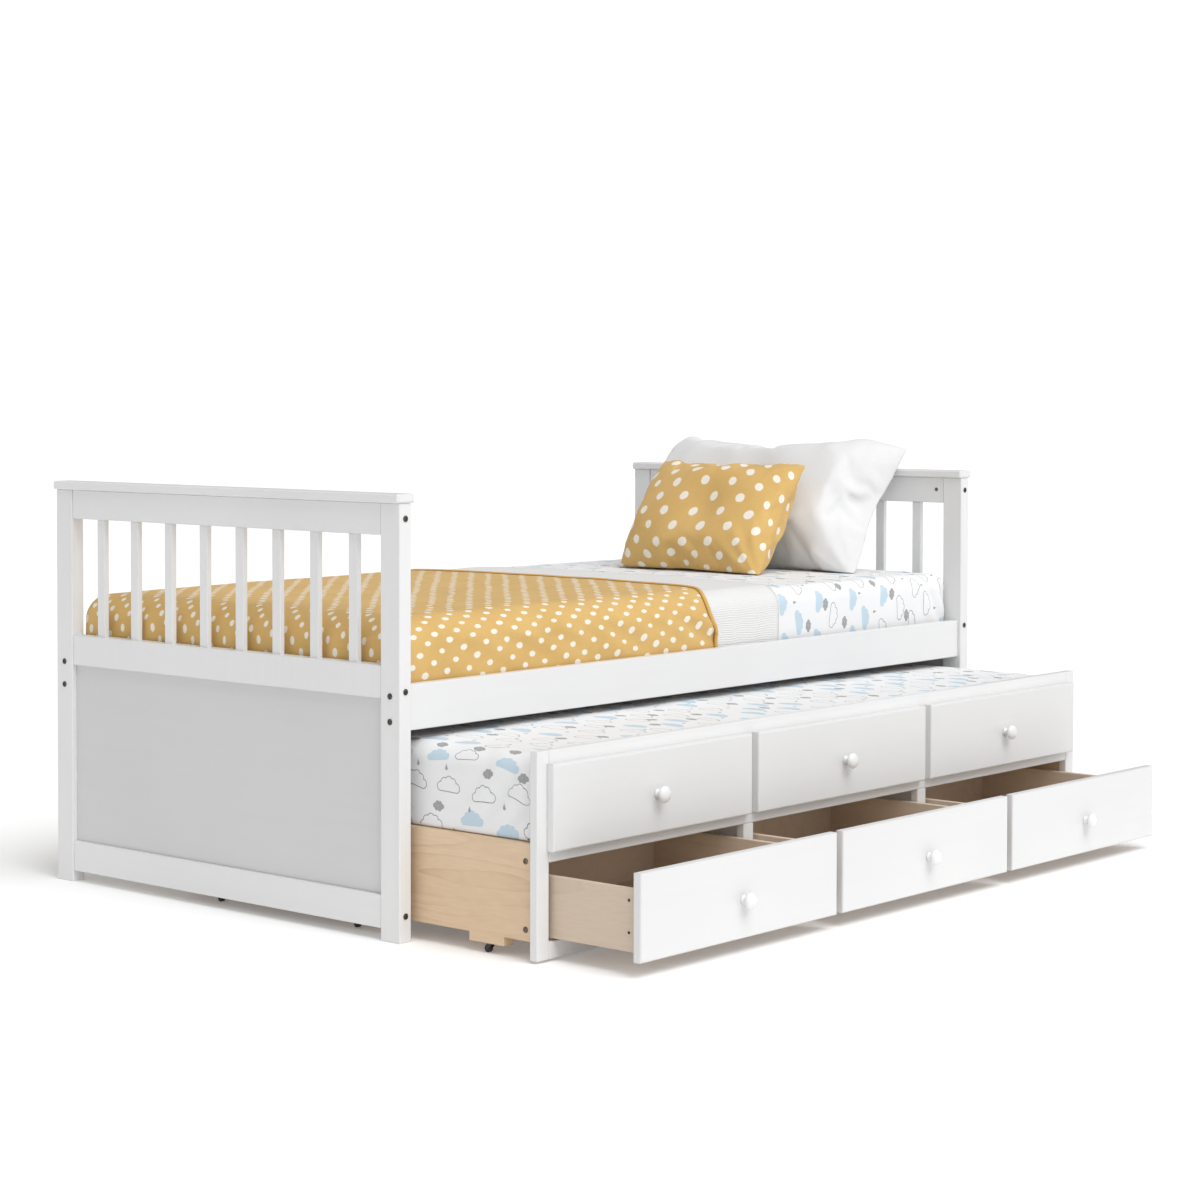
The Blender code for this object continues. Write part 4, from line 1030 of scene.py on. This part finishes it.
def squareUp(points, shares, target):
    # moves the seam back towards its straight outline, and what lies between along with it
    u, v = shares[:, 0], shares[:, 1]
    away = target - points[:, 1:]

    def along(seam, order):
        chosen = np.where(seam)[0]
        chosen = chosen[np.argsort(order[chosen])]
        return np.stack([np.interp(order, order[chosen], away[chosen, k]) for k in (0, 1)], 1)

    low, high = ((1 - v) / 2)[:, None], ((1 + v) / 2)[:, None]
    left, right = ((1 - u) / 2)[:, None], ((1 + u) / 2)[:, None]
    moved = low * along(v == -1, u) + high * along(v == 1, u) + left * along(u == -1, v) + right * along(u == 1, v)
    for cornerU, shareU in ((-1, left), (1, right)):
        for cornerV, shareV in ((-1, low), (1, high)):
            moved -= shareU * shareV * away[(u == cornerU) & (v == cornerV)][0]
    points[:, 1:] += pillowShape["outline"] * moved
    return points


def creases(y, z, width, height, seed):
    # folds that run out of each corner and die away towards the middle
    rng = np.random.default_rng(seed)
    total = np.zeros(len(y))
    for cornerY, cornerZ in ((-1, -1), (-1, 1), (1, -1), (1, 1)):
        dy, dz = y - cornerY * width / 2, z - cornerZ * height / 2
        reach = np.hypot(dy, dz)
        angle = np.arctan2(-cornerZ * dz, -cornerY * dy)
        size = 1.3 if cornerZ < 0 else 0.7
        for k in range(3):
            middle = pillowShape["creaseFirst"] + pillowShape["creaseStep"] * k + 0.2 * rng.random()
            length = (pillowShape["creaseLength"][0] + pillowShape["creaseLength"][1] * rng.random()) * size
            ridge = bumpAt(angle, middle, 0.10) - 0.6 * bumpAt(angle, middle + 0.2, 0.12)
            total += size * ridge * np.clip(reach / 0.03, 0, 1) * np.exp(-(reach / length) ** 2)
    return total


def settle(piece, values):
    cloth = piece.modifiers.new("cloth", "CLOTH")
    cloth.settings.use_pressure = True
    cloth.settings.uniform_pressure_force = values["pressure"]
    cloth.settings.effector_weights.gravity = 0.0
    for setting, value in pillowCloth.items():
        setattr(cloth.settings, setting, value)
    cloth.collision_settings.use_collision = False
    scene = bpy.context.scene
    scene.frame_start, scene.frame_end = 1, values["frames"]
    rest = pointsOf(piece)
    for step in range(1, values["frames"] + 1):
        scene.frame_set(step)
    freeze(piece)
    shift = pointsOf(piece) - rest
    length = np.linalg.norm(shift, axis=1)[:, None]
    setPoints(piece, rest + shift * np.minimum(1.0, values["cap"] / np.maximum(length, 1e-9)))
    scene.frame_set(1)


def makePillow(name, values):
    low, high = (np.array(c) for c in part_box(values["node"]))
    width, height, thick = values["size"]
    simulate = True
    piece, shares, target = pillowCover(name, values, pillowShape["simulatedSwell"] if simulate else 1.0)
    if simulate:
        settle(piece, values)
    points = pointsOf(piece)
    points -= (points.max(0) + points.min(0)) / 2
    span = points.max(0) - points.min(0)
    points *= np.array([thick / span[0], width / span[1], height / span[2]])
    points = squareUp(points, shares, target)
    u, v = 2 * points[:, 1] / width, 2 * points[:, 2] / height
    skin = np.clip(np.abs(points[:, 0]) / 0.015, 0, 1)
    inner = np.clip(1 - np.maximum(np.abs(u), np.abs(v)), 0, 1)
    waves = ripple(points, 8.0, values["seed"]) + 0.5 * ripple(points * [1, 1, 0.6], 17.0, values["seed"] + 1)
    rumple = values["rumple"] * waves * np.clip(inner * 6, 0.25, 1)
    dent = values["dent"] * bumpAt(u, -0.10, 0.26) * bumpAt(v, 0.02, 0.40)
    fold = creases(points[:, 1], points[:, 2], width, height, values["seed"])
    points[:, 0] += np.sign(points[:, 0]) * skin * (rumple - dent + values["crease"] * fold)
    points[:, 0] *= np.where(points[:, 0] > 0, 2 * values["back"], 2 * (1 - values["back"]))
    seamWave = np.sin(points[:, 1] * pillowShape["seamTurns"] + values["seed"]) * (np.abs(v) > 0.5)
    points[:, 0] += pillowShape["seamWave"] * (1 - np.clip(inner * 9, 0, 1)) * seamWave
    turn = np.array(Matrix.Rotation(values["lean"], 3, "Y"))
    points = points @ turn.T
    shift = np.array([high[0] - points[:, 0].max(), (low[1] + high[1]) / 2, high[2] - points[:, 2].max()]) - 0.0005
    shift[1] -= (points[:, 1].max() + points[:, 1].min()) / 2
    points += shift
    # flat where it rests on the mattress
    ground = bedTop + crownOf(points, bedLow, bedHigh, bedMattress["crown"]) + pillowShape["gap"]
    soft, room = pillowShape["soft"], points[:, 2] - ground
    pressed = ground + soft * np.exp(np.minimum(room - soft, 0) / soft)
    points[:, 2] = np.where(room < soft, pressed, points[:, 2])
    setPoints(piece, points)
    finer = piece.modifiers.new("finer", "SUBSURF")
    finer.levels = finer.render_levels = 1
    freeze(piece)
    piece.data.polygons.foreach_set("use_smooth", [True] * len(piece.data.polygons))
    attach(piece, "bed")
    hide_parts(values["node"])
    return piece


for name, values in pillows.items():
    makePillow(name, values)
    print(name, "built")


# Knobs, turned as one profile each

knobs = {
    # (distance from the front, radius) along the knob
    "profile": ((0.0, 0.0), (0.0, 0.0098), (0.0012, 0.0103), (0.0024, 0.0098), (0.0040, 0.0078), (0.0070, 0.0068),
                (0.0100, 0.0072), (0.0122, 0.0092), (0.0136, 0.0125), (0.0152, 0.0156), (0.0172, 0.0168),
                (0.0196, 0.0166), (0.0222, 0.0150), (0.0245, 0.0118), (0.0260, 0.0075), (0.0267, 0.0030),
                (0.0268, 0.0)),
    "sides": 40,
}


def makeKnob(name, node, body):
    low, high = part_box(node)
    x, z, back = (low.x + high.x) / 2, (low.z + high.z) / 2, high.y
    points, faces, rings = [], [], []
    for away, radius in knobs["profile"]:
        turns = [2 * math.pi * k / knobs["sides"] for k in range(knobs["sides"] if radius else 1)]
        rings.append(range(len(points), len(points) + len(turns)))
        points += [(x + radius * math.cos(turn), back - away, z + radius * math.sin(turn)) for turn in turns]
    for a, b in zip(rings, rings[1:]):
        for k in range(knobs["sides"]):
            n = (k + 1) % knobs["sides"]
            if len(a) == 1:
                faces.append((a[0], b[k], b[n]))
            elif len(b) == 1:
                faces.append((a[n], a[k], b[0]))
            else:
                faces.append((a[n], a[k], b[k], b[n]))
    piece = meshPiece(name, points, faces, materials["knobPaint"])
    work = bmesh.new()
    work.from_mesh(piece.data)
    bmesh.ops.recalc_face_normals(work, faces=work.faces)
    work.to_mesh(piece.data)
    work.free()
    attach(piece, body)
    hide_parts(node)
    return piece


for side in ("left", "middle", "right"):
    makeKnob("shamKnob" + side.capitalize(), "sham_knob_" + side, "trundle")
    makeKnob("drawerKnob" + side.capitalize(), "drawer_knob_" + side, "drawer_" + side)
print("knobs turned")


# Bed bolts, barrel nuts and drawer screws

fittings = {
    "boltHeights": (0.052, 0.490, 0.827), "sideHeights": (0.431, 0.481), "postMiddle": 0.984,
    "railLine": (-0.21235, 0.79465), "nutIn": 0.022, "screwHeights": (0.080, 0.140), "screwFromFront": 0.0240,
    "endNutHeights": (0.059, 0.189), "endNutFromFront": 0.0216,
}
heads = {
    "bolt": {"Radius": 0.0062, "Rise": 0.0016, "Socket Radius": 0.0030, "Socket Depth": 0.0012, "Socket Sides": 6},
    "nut": {"Radius": 0.0048, "Rise": 0.0010, "Socket Radius": 0.0022, "Socket Depth": 0.0006, "Socket Sides": 4},
    "endNut": {"Radius": 0.0060, "Rise": 0.0016, "Socket Radius": 0.0028, "Socket Depth": 0.0010, "Socket Sides": 4},
    "screw": {"Radius": 0.0030, "Rise": 0.0008, "Socket Radius": 0.0014, "Socket Depth": 0.0005, "Socket Sides": 4},
}


def headPieces(name, body, kind, metal, spots):
    # each spot is a place and the way the head faces
    values = {**heads[kind], "Smooth": False, "Material": materials[metal]}
    return grown(name, "heads", [place for place, _ in spots], values, body, facing=[way for _, way in spots])


def boltSpots():
    spots = []
    front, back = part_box("foot_post_front")[0].y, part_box("foot_post_back")[1].y
    for x in (-fittings["postMiddle"], fittings["postMiddle"]):
        for z in fittings["boltHeights"]:
            spots += [((x, front - 0.0001, z), (0, -1, 0)), ((x, back + 0.0001, z), (0, 1, 0))]
        out = math.copysign(1, x)
        spots += [((out * 1.0001, y, z), (out, 0, 0)) for y in fittings["railLine"] for z in fittings["sideHeights"]]
    return spots


def nutSpots():
    spots = []
    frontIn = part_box("foot_post_front")[1].y + fittings["nutIn"]
    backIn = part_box("foot_post_back")[0].y - fittings["nutIn"]
    footFace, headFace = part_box("foot_top_rail")[1].x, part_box("head_top_rail")[0].x
    for z in fittings["boltHeights"]:
        spots += [((footFace - 0.0003, backIn, z), (1, 0, 0)), ((headFace + 0.0003, frontIn, z), (-1, 0, 0))]
    return spots


def endNutSpots():
    left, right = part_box("trundle_end_left")[0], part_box("trundle_end_right")[1]
    y = left.y + fittings["endNutFromFront"]
    return [((x, y, z), (math.copysign(1, x), 0, 0)) for x in (left.x + 0.0003, right.x - 0.0003)
            for z in fittings["endNutHeights"]]


def screwSpots(side):
    low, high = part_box("drawer_box_" + side)
    y = low.y + fittings["screwFromFront"]
    return [((x, y, z), (way, 0, 0)) for x, way in ((low.x + 0.0002, -1), (high.x - 0.0002, 1))
            for z in fittings["screwHeights"]]


headPieces("bedBolts", "bed", "bolt", "boltMetal", boltSpots())
headPieces("bedBarrelNuts", "bed", "nut", "nutMetal", nutSpots())
headPieces("trundleBarrelNuts", "trundle", "endNut", "nutMetal", endNutSpots())
for side in ("left", "middle", "right"):
    headPieces("drawerScrews" + side.capitalize(), "drawer_" + side, "screw", "screwMetal", screwSpots(side))
print("fittings placed")


# Floor, light and camera

stage = {
    "floorSize": 60.0, "floorTone": 0.93, "floorShade": 0.92, "floorGlow": 0.12, "seenSky": 1.05, "skyLight": 0.405,
    "frontLight": 0.58, "frontFrom": (-0.151, -0.958, 0.242), "frontFall": 1.5,
}
suns = {
    "key": {"towards": (0.10, 0.53, -0.84), "strength": 1.74, "size": 0.75},
    "fill": {"towards": (0.75, 0.35, -0.55), "strength": 0.08, "size": 1.2},
}
view = {"place": (-4.7002, -3.9419, 1.0878), "towards": (0.75693861, 0.6528546, -0.02871956),
        "roll": math.radians(0.103), "lens": 81.07, "sensor": 36.0, "shift": -0.1148, "near": 0.1, "far": 200.0}


def makeFloor():
    half = stage["floorSize"] / 2
    corners = [(-half, -half, 0), (half, -half, 0), (half, half, 0), (-half, half, 0)]
    made, w, shader = newMaterial("paleFloor")
    spots = w.cloudy(w.onPiece(), 0.8, 2.0)
    w.feed(shader.inputs["Base Color"], w.blend(spots, grey(stage["floorTone"]), grey(stage["floorShade"])))
    shader.inputs["Roughness"].default_value = 0.9
    shader.inputs["Specular IOR Level"].default_value = 0.0
    shader.inputs["Emission Color"].default_value = (1, 1, 1, 1)
    shader.inputs["Emission Strength"].default_value = stage["floorGlow"]
    meshPiece("floor", corners, [(0, 1, 2, 3)], made, False)


def makeWorld():
    world = bpy.data.worlds.new("studio")
    bpy.context.scene.world = world
    world.use_nodes = True
    w = Wiring(world.node_tree)
    world.node_tree.nodes.clear()
    seen = w.add("ShaderNodeLightPath").outputs["Is Camera Ray"]
    way = w.add("ShaderNodeTexCoord").outputs["Generated"]
    facing = w.calc("MAXIMUM", w.vec("DOT_PRODUCT", way, stage["frontFrom"], number=True), 0.0)
    glow = w.calc("POWER", facing, stage["frontFall"])
    sky = w.calc("MULTIPLY_ADD", glow, stage["frontLight"], stage["skyLight"])
    strength = w.ramp(seen, 0.0, 1.0, sky, stage["seenSky"])
    back = w.add("ShaderNodeBackground", {"Color": (1, 1, 1, 1), "Strength": strength})
    w.add("ShaderNodeOutputWorld", {0: back.outputs[0]})


def addSun(name, towards, strength, size):
    light = bpy.data.lights.new(name, "SUN")
    light.energy = strength
    light.angle = size
    lamp = bpy.data.objects.new(name, light)
    bpy.context.scene.collection.objects.link(lamp)
    lamp.rotation_euler = Vector(towards).to_track_quat("-Z", "Y").to_euler()
    lamp.location = -Vector(towards) * 6


def makeCamera():
    lens = bpy.data.cameras.new("camera")
    lens.lens, lens.sensor_width, lens.shift_y = view["lens"], view["sensor"], view["shift"]
    lens.clip_start, lens.clip_end = view["near"], view["far"]
    camera = bpy.data.objects.new("camera", lens)
    bpy.context.scene.collection.objects.link(camera)
    turn = Vector(view["towards"]).to_track_quat("-Z", "Y").to_matrix().to_4x4()
    camera.matrix_world = Matrix.Translation(view["place"]) @ turn @ Matrix.Rotation(view["roll"], 4, "Z")
    bpy.context.scene.camera = camera


makeFloor()
makeWorld()
for name, values in suns.items():
    addSun(name, **values)
makeCamera()
bpy.context.scene.view_settings.view_transform = "Standard"
print("floor, light and camera ready")
